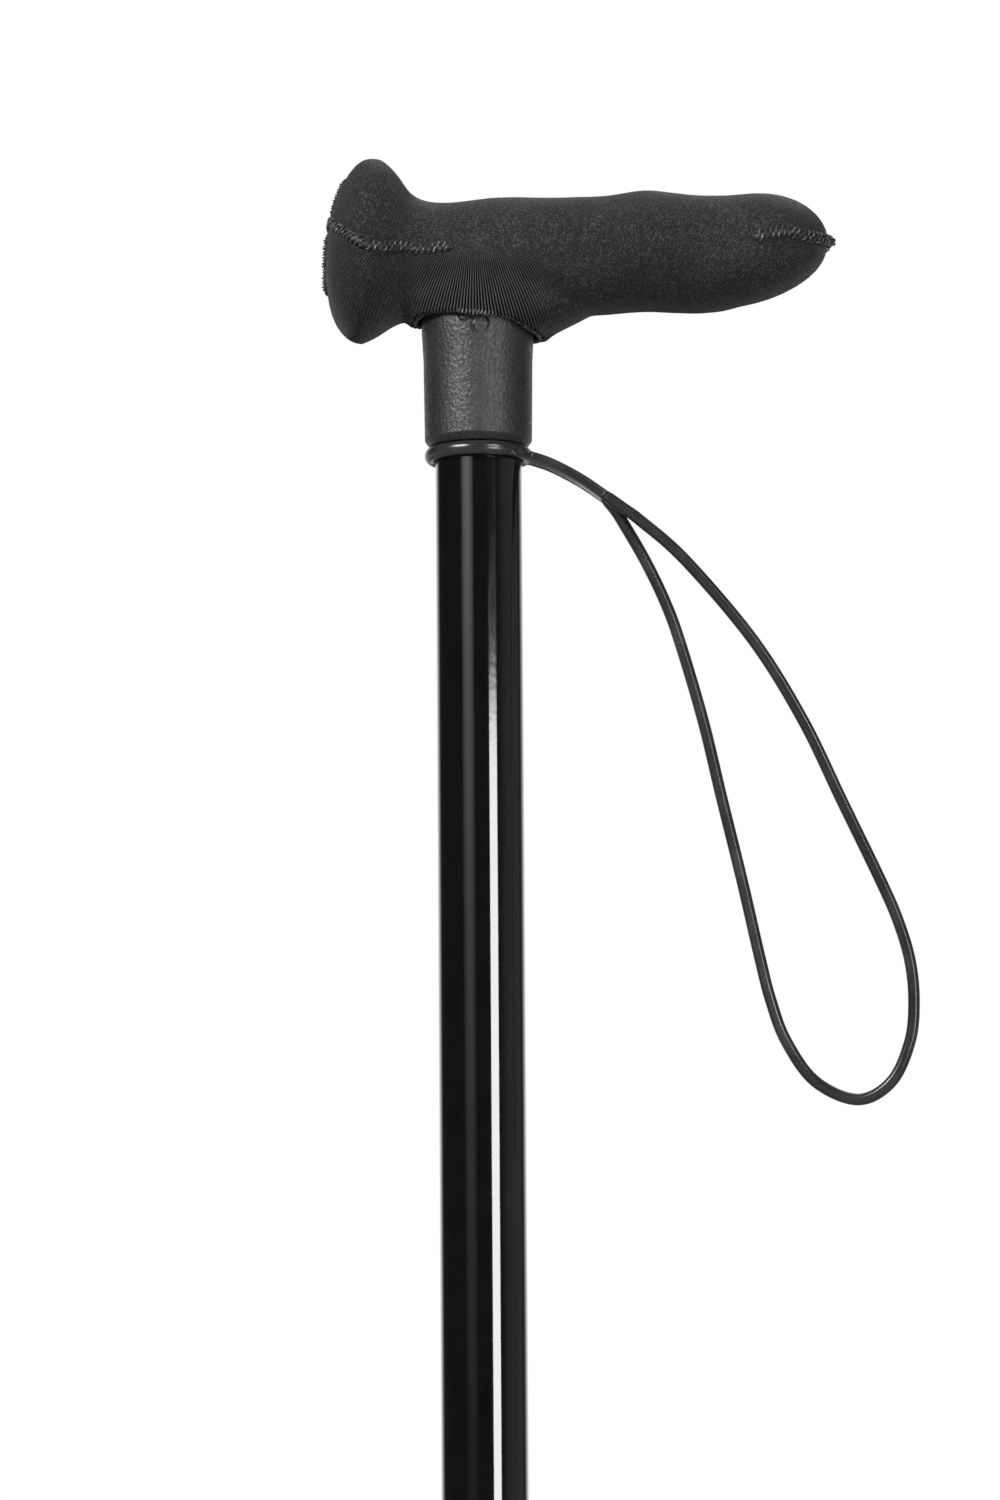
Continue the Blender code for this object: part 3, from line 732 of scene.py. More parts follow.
@dataclass(frozen=True)
class KnitFabric(Finish):
    """Polyester jersey, weft knitted from a dark melange yarn.

    To the eye it is matt charcoal with a fine speckle of paler stitches. Where the hem
    draws it in, its wales stand up as thin ribs that fan out. A stitch is drawn 0.5 mm
    wide, as it really is, and the ribs a little wider than theirs so that they show.
    """

    shadow: str = "#131314"
    yarn: str = "#353537"
    fleck: str = "#606062"
    # the grooves between the fan's ribs are painted near black: painted shade in the grooves
    groove: str = "#010101"
    rib: str = "#464648"
    rib_lift: float = 4.0
    relief: float = 0.12 * MM
    handled: float = MM / 0.045
    sheen: float = 0.38

    def material(self) -> Material:
        """Builds the material."""
        tree, where = self.begin()
        wale, course, ribs, fan = (
            add_node(tree, "Attribute", attribute_name=name).outputs["Fac"]
            for name in ("wale", "course", "ribs", "fan")
        )

        # each stitch is a V of two legs: the leg's middle stands up, and its ends tuck under
        across = add_node(tree, "Math", {0: wale, 1: 1.0}, operation="PINGPONG")
        lean = add_node(
            tree, "Math", {0: across.outputs[0], 1: 0.6, 2: course}, operation="MULTIPLY_ADD"
        ).outputs[0]
        leg = self.wave(tree, wale, 2.0)
        loop = self.wave(tree, lean, 1.0)
        stitch = add_node(tree, "Math", {0: leg, 1: loop}, operation="MULTIPLY")
        stitch_height = add_node(
            tree, "Math", {0: stitch.outputs[0], 1: 0.5}, operation="POWER"
        ).outputs[0]

        # one yarn tone for each leg of a stitch, from its place in the knit
        legs = add_node(tree, "Math", {0: wale, 1: 2.0}, operation="MULTIPLY").outputs[0]
        column = add_node(tree, "Math", {0: legs}, operation="FLOOR").outputs[0]
        row = add_node(tree, "Math", {0: lean}, operation="FLOOR").outputs[0]
        cell = add_node(tree, "CombineXYZ", {"X": column, "Y": row}).outputs["Vector"]
        chance = add_node(
            tree, "TexWhiteNoise", {"Vector": cell}, noise_dimensions="2D"
        ).outputs["Value"]
        pale = add_node(
            tree, "MapRange", {"Value": chance, "From Min": 0.65, "From Max": 1.0}
        ).outputs["Result"]
        speck = add_node(tree, "Math", {0: pale, 1: stitch_height}, operation="MULTIPLY").outputs[0]
        wear = add_node(
            tree, "TexNoise", {"Vector": where, "Scale": 1 / self.handled, "Detail": 3.0}
        ).outputs["Fac"]

        # the ribs of the fan at the hem take the stitches' place there
        rib = add_node(
            tree,
            "MapRange",
            {"Value": self.wave(tree, fan, 1.0), "From Min": 0.48, "From Max": 0.95},
            interpolation_type="SMOOTHSTEP",
        ).outputs["Result"]
        raised = add_node(tree, "Math", {0: rib, 1: self.rib_lift}, operation="MULTIPLY").outputs[0]
        height = add_node(
            tree, "Mix", {"Factor": ribs, "A": stitch_height, "B": raised}
        ).outputs["Result"]
        dark, pale_yarn = linear(self.shadow), linear(self.yarn)
        plain = add_node(
            tree, "Mix", {"Factor": stitch_height, "A": dark, "B": pale_yarn}, data_type="RGBA"
        ).outputs["Result"]
        speckled = add_node(
            tree, "Mix", {"Factor": speck, "A": plain, "B": linear(self.fleck)}, data_type="RGBA"
        ).outputs["Result"]
        # the near-black groove colour between the ribs is painted shade, the crests take the rib
        # colour
        groove, crest = linear(self.groove), linear(self.rib)
        ribbed = add_node(
            tree, "Mix", {"Factor": rib, "A": groove, "B": crest}, data_type="RGBA"
        ).outputs["Result"]
        flecked = add_node(
            tree, "Mix", {"Factor": ribs, "A": speckled, "B": ribbed}, data_type="RGBA"
        ).outputs["Result"]
        tone = add_node(
            tree, "MapRange", {"Value": wear, **NOISE_SPAN, "To Min": 0.85, "To Max": 1.2}
        ).outputs["Result"]
        colour = add_node(
            tree, "VectorMath", {0: flecked, "Scale": tone}, operation="SCALE"
        ).outputs["Vector"]
        bump = add_node(
            tree, "Bump", {"Strength": 0.6, "Distance": self.relief, "Height": height}
        ).outputs["Normal"]
        # the raised fibres catch the light, and the grooves stay dark
        crown = add_node(
            tree, "Mix", {"Factor": ribs, "A": stitch_height, "B": rib}
        ).outputs["Result"]
        fuzz = add_node(tree, "Math", {0: crown, 1: self.sheen}, operation="MULTIPLY").outputs[0]
        return self.finished(
            {
                "Base Color": colour,
                "Normal": bump,
                "Sheen Weight": fuzz,
                "Roughness": 0.92,
                "Specular IOR Level": 0.08,
                "Sheen Roughness": 0.4,
            }
        )

    @staticmethod
    def wave(tree: NodeTree, phase: NodeSocket, count: float) -> NodeSocket:
        """Makes round ridges.

        Args:
            tree: The node tree.
            phase: A value that rises by 1 for each stitch.
            count: The ridges for each stitch.

        Returns:
            A value from 0 in a groove to 1 on a ridge.
        """
        turned = add_node(
            tree, "Math", {0: phase, 1: 2 * math.pi * count}, operation="MULTIPLY"
        ).outputs[0]
        cosine = add_node(tree, "Math", {0: turned}, operation="COSINE").outputs[0]
        return add_node(
            tree, "Math", {0: cosine, 1: -0.5, 2: 0.5}, operation="MULTIPLY_ADD"
        ).outputs[0]


@dataclass(frozen=True)
class SewingThread(Finish):
    """Textured polyester thread, spun and loosely twisted, and the fold of cloth under it.

    To the eye it is dark grey, with small changes of tone along it. Patches of its pale
    colour are a painted highlight that stands for the sheen on the stitches' crowns; where
    it dresses the fold of cloth, its near-black colours are painted shade between the threads.
    """

    colour: str = "#222224"
    # the pale colour, mixed in by patches, is a painted highlight for the thread's sheen
    pale: str = "#A6A6A8"
    share: float = 0.62
    fibre: float = MM / 2.6
    patch: float = 1.25 * MM

    def material(self) -> Material:
        """Builds the material."""
        tree, where = self.begin()
        fibre = add_node(
            tree, "TexNoise", {"Vector": where, "Scale": 1 / self.fibre, "Detail": 1.0}
        ).outputs["Fac"]
        patch = add_node(
            tree, "TexNoise", {"Vector": where, "Scale": 1 / self.patch, "Detail": 2.0}
        ).outputs["Fac"]
        # patches of painted highlight: the pale colour stands for sheen on the thread
        share = add_node(
            tree,
            "MapRange",
            {"Value": patch, "From Min": 0.45, "From Max": 0.72, "To Max": self.share},
        ).outputs["Result"]
        colour = add_node(
            tree,
            "Mix",
            {"Factor": share, "A": linear(self.colour), "B": linear(self.pale)},
            data_type="RGBA",
        ).outputs["Result"]
        bump = add_node(
            tree, "Bump", {"Strength": 0.4, "Distance": 0.05 * MM, "Height": fibre}
        ).outputs["Normal"]
        return self.finished(
            {
                "Base Color": colour,
                "Normal": bump,
                "Roughness": 0.6,
                "Sheen Weight": 0.15,
                "Sheen Roughness": 0.3,
            }
        )


@dataclass(frozen=True)
class BareSteel(Finish):
    """Steel strip or bar, with a bright zinc or nickel plate or blued.

    To the eye it is pale metal, brushed by the tumbling drum, with duller clouds where the
    plate has been handled.
    """

    colour: str = "#B4B5B8"
    roughness: float = 0.28
    cloud: float = MM / 0.35

    def material(self) -> Material:
        """Builds the material."""
        tree, where = self.begin()
        cloud = add_node(
            tree, "TexNoise", {"Vector": where, "Scale": 1 / self.cloud, "Detail": 4.0}
        ).outputs["Fac"]
        tone = add_node(
            tree, "MapRange", {"Value": cloud, **NOISE_SPAN, "To Min": 0.75, "To Max": 1.0}
        ).outputs["Result"]
        colour = add_node(
            tree, "VectorMath", {0: linear(self.colour)[:3], "Scale": tone}, operation="SCALE"
        ).outputs["Vector"]
        rough = self.roughness
        gloss = add_node(
            tree,
            "MapRange",
            {"Value": cloud, **NOISE_SPAN, "To Min": rough + 0.12, "To Max": rough - 0.08},
        ).outputs["Result"]
        return self.finished({"Base Color": colour, "Roughness": gloss, "Metallic": 1.0})


@dataclass(frozen=True)
class GripForm:
    """The shape of the grip's surface, with its heights above the neck's lower end."""

    flange_x: float = -0.0276
    flange_dome: float = 0.0107
    flange_drop: float = 0.0018
    flange_lean: float = 0.08
    upper_lean: float = 0.35
    lean_end: float = -0.0150
    nose_x: float = 0.0664
    nose_dome: float = 0.0228
    nose_rise: float = 0.0021
    nose_power: float = 0.49
    stations: Rows = (
        # along X, centre height, half height, half width
        (-0.0276, 0.05115, 0.02375, 0.0225),
        (-0.0246, 0.05170, 0.02270, 0.0216),
        (-0.0206, 0.05150, 0.01945, 0.0190),
        (-0.0165, 0.04955, 0.01590, 0.0168),
        (-0.0095, 0.04865, 0.01465, 0.0160),
        (0.0057, 0.04935, 0.01530, 0.0163),
        (0.0199, 0.04922, 0.01522, 0.0167),
        (0.0320, 0.04962, 0.01508, 0.0170),
        (0.0421, 0.05065, 0.01540, 0.0172),
        (0.0502, 0.05020, 0.01520, 0.0168),
        (0.0563, 0.04980, 0.01495, 0.0163),
        (0.0624, 0.05008, 0.01458, 0.0159),
        (0.0664, 0.05072, 0.01423, 0.0155),
    )

    def base(self, x: float) -> tuple[float, float, float]:
        """Centre height, half height and half width at x, before a dome draws them in."""
        centre, tall, wide = interpolated(self.stations, min(max(x, self.flange_x), self.nose_x))
        if x < self.flange_x:
            centre -= self.flange_drop * min((self.flange_x - x) / self.flange_dome, 1) ** 2
        if x > self.nose_x:
            share = min((x - self.nose_x) / self.nose_dome, 1)
            centre += self.nose_rise * math.sin(share * math.pi / 2)
        return centre, tall, wide

    def section(self, x: float, inset: float) -> tuple[float, float, float]:
        """Centre height, half height and half width at x, with the domes' rounding."""
        centre, tall, wide = self.base(x)
        shrink = 1.0
        if x < self.flange_x:
            t = min((self.flange_x - x) / (self.flange_dome - inset), 1)
            shrink = math.sqrt(1 - t * t)
        if x > self.nose_x:
            t = min((x - self.nose_x) / (self.nose_dome - inset), 1)
            shrink = (1 - t * t) ** self.nose_power
        return centre, (tall - inset) * shrink, (wide - inset) * shrink

    def point(self, x: float, angle: float, inset: float = 0.0) -> Vector:
        """Finds a point of the surface.

        Args:
            x: The place along the grip.
            angle: 0 on the near side and a quarter turn on top.
            inset: How far under the surface the point is.

        Returns:
            The point, in the model's frame.
        """
        centre, tall, wide = self.section(x, inset)
        height = tall * math.sin(angle)
        moved = x + self.lean(x, height)
        return Vector((moved, -wide * math.cos(angle), NECK_END + centre + height))

    def lean(self, x: float, height: float) -> float:
        """How far the flange's face leans back at a height, less so above its middle."""
        share = (self.lean_end - x) / (self.lean_end - self.flange_x)
        slope = self.flange_lean * min(max(share, 0.0), 1.0)
        return slope * height * (self.upper_lean if height > 0 else 1.0)

    def dome_point(self, turn_angle: float, angle: float, inset: float, nose: bool) -> Vector:
        """A point of a domed end; the turn is 0 at its pole and a quarter turn at its rim."""
        if nose:
            x = self.nose_x + (self.nose_dome - inset) * math.cos(turn_angle)
        else:
            x = self.flange_x - (self.flange_dome - inset) * math.cos(turn_angle)
        return self.point(x, angle, inset)

    def locate(self, point: Vector) -> tuple[float, float]:
        """Finds where a point lies on the grip.

        Args:
            point: A point on or near the surface, in the model's frame.

        Returns:
            The place along the grip, and the angle up from the level of the centre line,
            which is the same on both sides.
        """
        x = point.x
        for _ in range(3):
            centre = self.base(x)[0]
            x = point.x - self.lean(x, point.z - NECK_END - centre)
        centre, tall, wide = self.base(x)
        rise = (point.z - NECK_END - centre) / tall
        return x, math.atan2(rise, abs(point.y) / wide)

    def level(self, point: Vector) -> float:
        """A value that is 0 on the surface and rises outwards."""
        x = self.locate(point)[0]
        centre, tall, wide = self.base(x)
        # the ring is 1 at the edge of a straight section, and a dome adds how far along it is
        ring = (point.y / wide) ** 2 + ((point.z - NECK_END - centre) / tall) ** 2
        if x < self.flange_x:
            return ring + ((self.flange_x - x) / self.flange_dome) ** 2 - 1
        if x > self.nose_x:
            end = ((x - self.nose_x) / self.nose_dome) ** 2
            return ring ** (0.5 / self.nose_power) + end - 1
        return ring - 1

    def normal(self, point: Vector) -> Vector:
        """The outward direction of the surface at a point."""
        step = 0.05 * MM
        slope = Vector()
        for axis in range(3):
            shift = Vector()
            shift[axis] = step
            slope[axis] = self.level(point + shift) - self.level(point - shift)
        return slope.normalized()


def loft(name: str, rings: Sequence[Sequence[Vector]]) -> Object:
    """Skins rings of points, each end closed by a fan round its middle.

    Args:
        name: The object's name.
        rings: The rings, each with the same number of points.

    Returns:
        The closed skin.
    """
    mesh = bmesh.new()
    loops = [[mesh.verts.new(p) for p in ring] for ring in rings]
    for low, high in zip(loops, loops[1:]):
        for i, vert in enumerate(low):
            j = (i + 1) % len(low)
            mesh.faces.new((vert, low[j], high[j], high[i]))
    for loop in (loops[0], loops[-1]):
        middle = mesh.verts.new(sum((v.co for v in loop), Vector()) / len(loop))
        for i, vert in enumerate(loop):
            mesh.faces.new((vert, loop[(i + 1) % len(loop)], middle))
    bmesh.ops.recalc_face_normals(mesh, faces=mesh.faces)
    data = bpy.data.meshes.new(name)
    mesh.to_mesh(data)
    mesh.free()
    obj = bpy.data.objects.new(name, data)
    bpy.context.scene.collection.objects.link(obj)
    return obj


def grip_skin(name: str, form: GripForm, inset: float, sides: int) -> Object:
    """Builds the grip's closed skin at an inset.

    Args:
        name: The object's name.
        form: The grip's shape.
        inset: How far the skin lies under the surface.
        sides: The points round each section.

    Returns:
        The skin.
    """
    turns = [math.radians(a) for a in (2, 6, 12, 20, 30, 40, 50, 60, 70, 80)]
    steps = 70
    flange = [form.flange_x - (form.flange_dome - inset) * math.cos(a) for a in turns]
    nose = [form.nose_x + (form.nose_dome - inset) * math.cos(a) for a in reversed(turns)]
    body = [form.flange_x + (form.nose_x - form.flange_x) * i / steps for i in range(steps + 1)]
    rings = [
        [form.point(x, angle, inset) for angle in circle(sides)] for x in flange + body + nose
    ]
    return loft(name, rings)


@dataclass
class GripCover:
    """The knitted cover: one skin over the grip, drawn in round the neck and hemmed there."""

    form: GripForm
    thickness: float = 0.0013
    voxel: float = 0.0007
    sides: int = 96
    hem_radius: float = 0.01565
    # the boot's skin leans towards the flange, and is cut open within a reach and a height
    boot_tilt: float = 5.0
    boot_rise: float = 0.012
    boot_reach: float = 0.0178
    boot_top: float = 0.036
    # where the valley round the boot is: from and to, each with its soft edge
    valley_reach: tuple[float, float, float, float] = (0.0155, 0.0165, 0.026, 0.034)
    valley_height: tuple[float, float, float, float] = (0.0295, 0.032, 0.044, 0.052)
    # bumps to the metre and their height
    sway: Rows = ((70.0, 0.00016), (190.0, 0.00006))
    puckers: int = 44
    pucker_tall: float = 0.00012
    fold_often: tuple[float, float, float] = (420.0, 420.0, 160.0)
    fold_tall: float = 0.0005
    # how high puckers and folds reach above the hem, and how far from the axis
    slack_up: Span = (0.0, 0.006)
    slack_out: Span = (0.018, 0.021)
    hem_wall: float = 0.00155
    hem_roll: Span = (0.0004, 0.0011)
    stitch_wide: float = 0.00052
    stitch_tall: float = 0.00046
    mean_radius: float = 0.016546
    rib_pitch: float = 0.00085
    fan_x: float = -0.0008
    fan_base: float = 0.0315
    fan_height: float = 0.0632
    fan_least: float = 0.008
    # where the ribs fade out: over the hem, on the flange where they are faint, and towards
    # the grip's middle plane
    hem_ribs_up: Span = (0.0435, 0.0495)
    hem_ribs_along: Span = (0.011, 0.022)
    flange_ribs: float = 0.3
    flange_ribs_up: Span = (0.046, 0.054)
    flange_ribs_along: Span = (-0.026, -0.019)
    ribs_across: Span = (0.006, 0.011)
    boot: Rows = (
        # height, how far the ring stands out from the hem along X and across, and how much
        # higher it is towards the flange
        (0.0230, 0.0002, 0.0000, 0.0012),
        (0.0292, 0.0003, 0.0000, 0.0012),
        (0.0299, 0.0021, 0.0003, 0.0012),
        (0.0320, 0.0050, 0.0004, 0.0009),
        (0.0342, 0.0088, 0.0004, 0.0005),
        (0.0365, 0.0123, 0.0002, 0.0002),
        (0.0430, 0.0128, -0.0008, 0.0000),
    )
    hem_line: Rows = (
        # degrees round the neck from the near side towards the nose, and height
        (-90.0, 0.0322),
        (-78.0, 0.0323),
        (-64.0, 0.0328),
        (-47.0, 0.0330),
        (-23.0, 0.0324),
        (-5.0, 0.0315),
        (15.0, 0.0313),
        (30.0, 0.0309),
        (48.0, 0.0293),
        (68.0, 0.0283),
        (90.0, 0.0279),
    )

    def hem_height(self, point: Vector) -> float:
        """Height of the hem above the neck's lower end, where a point lies round the neck."""
        round_neck = math.degrees(math.atan2(point.x, abs(point.y)))
        return interpolated(self.hem_line, round_neck)[0]

    def hem_point(self, angle: float, radius: float, rise: float = 0.0) -> Vector:
        """A point of the hem; the angle is 0 at the near side, and rises towards the nose."""
        point = round_axis(radius, angle, 0)
        point.z = NECK_END + self.hem_height(point) + rise
        return point

    def build(self) -> Object:
        """Builds the cover's cloth.

        Returns:
            The cover, open at the hem, with the marks that its material reads.
        """
        skin = grip_skin("knit_cover_cloth", self.form, 0.0, self.sides)
        cover = join([skin, self.boot_skin()])
        apply_modifier(cover, "REMESH", mode="VOXEL", voxel_size=self.voxel)
        self.soften(cover)
        self.open_hem(cover)
        self.wrinkle(cover)
        apply_modifier(
            cover, "SOLIDIFY", thickness=self.thickness, offset=-1.0, use_even_offset=False
        )
        self.round_hem(cover)
        self.mark_knit(cover)
        return all_smooth(cover)

    def boot_skin(self) -> Object:
        """Builds the skin of the boot that draws the cover in round the neck."""
        tilt = Matrix.Rotation(math.radians(self.boot_tilt), 3, "Y")
        pivot = Vector((0, 0, self.boot[1][0]))
        rings = []
        for height, long_out, wide_out, lift in self.boot:
            ring = []
            for angle in circle(self.sides):
                x = (self.hem_radius + long_out) * math.cos(angle)
                y = (self.hem_radius + wide_out) * math.sin(angle)
                leaning = pivot + tilt @ (Vector((x, y, height)) - pivot)
                rise = NECK_END + lift * smoothstep(0.0, self.boot_rise, -x)
                ring.append(leaning + Vector((0, 0, rise)))
            rings.append(ring)
        return loft("boot", rings)

    def soften(self, cover: Object) -> None:
        """Smooths the whole skin a little, and the valley round the boot a lot."""
        apply_modifier(cover, "SMOOTH", factor=0.5, iterations=3)
        group = cover.vertex_groups.new(name="valley")
        for vert in cover.data.vertices:
            near = between(self.valley_reach, from_axis(vert.co))
            low = between(self.valley_height, vert.co.z - NECK_END)
            group.add([vert.index], near * low, "REPLACE")
        apply_modifier(cover, "SMOOTH", factor=0.5, iterations=14, vertex_group="valley")
        cover.vertex_groups.clear()

    def open_hem(self, cover: Object) -> None:
        """Cuts the boot open along the hem's line, which is laid level for the cut."""
        level = NECK_END + self.hem_line[0][1]
        for vert in cover.data.vertices:
            vert.co.z -= self.hem_height(vert.co) - self.hem_line[0][1]
        with Edit(cover) as edit:
            top = NECK_END + self.boot_top
            edit.pick(Element.FACE, lambda p: from_axis(p) < self.boot_reach and p.z < top)
            bpy.ops.mesh.bisect(
                plane_co=(0, 0, level), plane_no=(0, 0, 1), clear_inner=True, use_fill=False
            )
        for vert in cover.data.vertices:
            vert.co.z += self.hem_height(vert.co) - self.hem_line[0][1]

    def wrinkle(self, cover: Object) -> None:
        """Gives the cloth its slight unevenness, and small puckers above the hem."""
        moves = []
        for vert in cover.data.vertices:
            p = vert.co
            height = p.z - NECK_END - self.hem_height(p)
            close = falling(*self.slack_up, height) * falling(*self.slack_out, from_axis(p))
            sway = sum(noise.noise(p * often) * tall for often, tall in self.sway)
            angle = math.atan2(p.x, p.y)
            uneven = angle * self.puckers + 2 * math.sin(angle * 5)
            pucker = math.sin(uneven) * self.pucker_tall * close
            # towards the flange and the nose the slack cloth lies in upright folds
            ends = falling(0.0, 0.35, math.cos(angle) ** 2)
            upright = Vector([at * often for at, often in zip(p, self.fold_often)])
            fold = noise.noise(upright) * self.fold_tall * close * ends
            moves.append(p + vert.normal * (sway + pucker + fold))
        for vert, move in zip(cover.data.vertices, moves):
            vert.co = move

    def round_hem(self, cover: Object) -> None:
        """Rolls the cut edge of the hem, which Solidify leaves square."""
        group = cover.vertex_groups.new(name="edge")
        for vert in cover.data.vertices:
            height = vert.co.z - NECK_END - self.hem_height(vert.co)
            at_neck = from_axis(vert.co) < self.hem_radius + self.hem_wall
            near = falling(*self.hem_roll, height) if at_neck else 0.0
            group.add([vert.index], near, "REPLACE")
        apply_modifier(cover, "SMOOTH", factor=0.5, iterations=4, vertex_group="edge")
        cover.vertex_groups.clear()

    def mark_knit(self, cover: Object) -> None:
        """Writes the knit's lie: wale and course counts, and the fan of ribs at the hem."""
        form = self.form
        start = form.flange_x - form.flange_dome
        steps = 400
        length = form.nose_x + form.nose_dome - start
        places = [start + length * i / steps for i in range(steps + 1)]
        arcs = [0.0]
        for a, b in zip(places, places[1:]):
            rise = form.section(b, 0)[1] - form.section(a, 0)[1]
            arcs.append(arcs[-1] + math.hypot(b - a, rise))

        def wale(point: Vector) -> float:
            """Wales counted along the grip from the flange's pole."""
            share = (form.locate(point)[0] - start) / length * steps
            index = min(max(int(share), 0), steps - 1)
            arc = arcs[index] + (arcs[index + 1] - arcs[index]) * (share - index)
            return arc / self.stitch_wide

        def course(point: Vector) -> float:
            """Courses counted up round the grip from its lowest line."""
            return (form.locate(point)[1] + math.pi / 2) * self.mean_radius / self.stitch_tall

        def fan(point: Vector) -> float:
            """Ribs counted across, on lines that meet at one height above the hem."""
            aside = point.x - self.fan_x
            spread = (self.fan_height - self.fan_base) * (1 + 0.8 * (aside / 0.025) ** 2)
            drop = max(spread - (point.z - NECK_END - self.fan_base), self.fan_least)
            return aside / drop * spread / self.rib_pitch

        def ribs(point: Vector) -> float:
            """How much the ribs show: all of them over the hem, and faintly on the flange."""
            height = point.z - NECK_END
            hem = falling(*self.hem_ribs_up, height)
            hem *= falling(*self.hem_ribs_along, abs(point.x))
            flange = self.flange_ribs * falling(*self.flange_ribs_up, height)
            flange *= falling(*self.flange_ribs_along, point.x)
            return max(hem, flange) * smoothstep(*self.ribs_across, abs(point.y))

        for name, value in (("wale", wale), ("course", course), ("fan", fan), ("ribs", ribs)):
            mark(cover, name, value)


@dataclass
class GripSeams:
    """The overlocked seams on the cover, and the stitched hem."""

    form: GripForm
    cover: GripCover
    # the fold's near-black material is painted shade between the threads
    fold: Material
    thread: Material
    ridge_wide: float = 0.0022
    ridge_tall: float = 0.0007
    thread_radius: float = 0.0002
    pitch: float = 0.0015
    turn_steps: int = 12
    bare_end: int = 9
    # a stitch's loop: its turn ahead of the other row's, and its place and size as shares of
    # the ridge's half width and height
    row_turn: float = 0.9
    row_aside: float = 0.5
    loop_reach: float = 0.56
    loop_middle: float = 0.42
    loop_lift: float = 0.62
    nib_reach: float = 0.0014
    nib_narrowing: float = 0.35
    ridge_sides: int = 12
    hem_turns: int = 104
    hem_steps: int = 10
    # the hem thread's coil: its middle out from and up over the edge, and its two half sizes
    hem_coil: Span = (0.0001, 0.0005)
    hem_reach: Span = (0.0004, 0.00055)
    side_straight: Rows = (
        # along X, and degrees up from the side
        (-0.0059, 1.5),
        (-0.0108, 0.3),
        (-0.0156, -3.8),
        (-0.0203, -7.9),
        (-0.0242, -8.8),
    )
    side_dome: Rows = (
        # degrees from the end's pole, and degrees up from the side
        (88.0, -6.8),
        (76.0, -3.6),
        (61.0, 2.3),
        (43.0, 15.0),
        (28.0, 42.0),
        (21.5, 70.0),
        (20.5, 90.0),
    )
    nose_dome: Rows = (
        # the same at the nose
        (82.0, -0.8),
        (70.0, 1.7),
        (60.0, 3.3),
        (52.0, 1.7),
        (44.0, -2.0),
        (36.0, -3.7),
        (26.0, -3.2),
        (14.0, -5.0),
        (0.0, 0.0),
    )
    upright_top: float = 55.0
    upright_gap: float = 5.0
    upright_end: float = -25.0

    def both_sides(self, route: list[Vector]) -> list[Vector]:
        """Carries a route from the near side on to the far side, mirrored."""
        return route + [Vector((p.x, -p.y, p.z)) for p in reversed(route[:-1])]

    def dome_route(self, rows: Rows, nose: bool) -> list[Vector]:
        """Points on a dome, from pairs of degrees."""
        return [
            self.form.dome_point(math.radians(t), math.radians(a), 0.0, nose) for t, a in rows
        ]

    def side_route(self) -> list[Vector]:
        """The route along the grip's side and round its flared end."""
        straight = [self.form.point(x, math.radians(a)) for x, a in self.side_straight]
        return self.both_sides(straight + self.dome_route(self.side_dome, False))

    def upright_route(self, first: float, last: float) -> list[Vector]:
        """The route up the middle of the flared end, between two turns from its pole."""
        route = []
        steps = 8
        for i in range(steps + 1):
            turn_angle = math.radians(first + (last - first) * i / steps)
            angle = math.copysign(math.pi / 2, turn_angle)
            route.append(self.form.dome_point(turn_angle, angle, 0.0, False))
        return route

    def overlock(
        self, name: str, knots: list[Vector], scale: float, ragged: float, nib: float
    ) -> Object:
        """Sews an overlocked seam: two rows of slanted stitches over a fold of cloth.

        Args:
            name: The object's name.
            knots: The seam's route on the cover.
            scale: The seam's size against a plain one.
            ragged: How uneven the stitches are.
            nib: How far the fold stands out more at the middle of the route.

        Returns:
            The ridge of folded cloth with its threads.
        """
        route = smooth_route(knots, self.pitch / self.turn_steps)
        tip = route[len(route) // 2]
        frames = []
        for i, point in enumerate(route):
            up = self.form.normal(point)
            near_tip = math.exp(-(((point - tip).length / self.nib_reach) ** 2))
            side = up.cross(heading(route, i)).normalized()
            narrow = 1 - self.nib_narrowing * near_tip * (nib > 0)
            frames.append((point + up * nib * near_tip, up, side, narrow))
        ridge = [self.ridge_ring(frame, scale, i, len(frames)) for i, frame in enumerate(frames)]
        # the fold of cloth is dressed in near-black painted shade, which shows between the threads
        fold = loft(name, ridge[::3] + [ridge[-1]])
        fold.data.materials.append(self.fold)
        pieces = [all_smooth(fold)]
        for row in (-1, 1):
            points = self.thread_row(frames[self.bare_end : -self.bare_end], row, scale, ragged)
            strand = bead(name + "_thread", points, self.thread_radius * scale, 1)
            strand.data.materials.append(self.thread)
            pieces.append(strand)
        return join(pieces)

    def thread_row(
        self, frames: Sequence[tuple], row: int, scale: float, ragged: float
    ) -> list[Vector]:
        """Winds one row of slanted stitches along a seam.

        Args:
            frames: The seam's places, as ridge_ring takes them.
            row: The side of the seam that the row is on, -1 or 1.
            scale: The seam's size against a plain one.
            ragged: How uneven the stitches are.

        Returns:
            The thread's line.
        """
        wide = self.ridge_wide * scale / 2
        tall = self.ridge_tall * scale
        points = []
        for i, (point, up, side, narrow) in enumerate(frames):
            turned = 2 * math.pi * i / self.turn_steps + row * self.row_turn
            jitter = noise.noise(Vector((i * 0.13, row * 5.0, scale * 7))) * ragged
            drift = noise.noise(Vector((i * 0.04, row * 9.0, scale * 3))) * ragged * 0.5
            middle = wide * narrow * (self.row_aside * row + drift)
            reach = wide * narrow * self.loop_reach * (1 + jitter)
            lift = tall * (self.loop_lift + jitter)
            points.append(
                point
                + side * (middle + reach * math.cos(turned))
                + up * (tall * self.loop_middle - lift * math.sin(turned))
            )
        return points

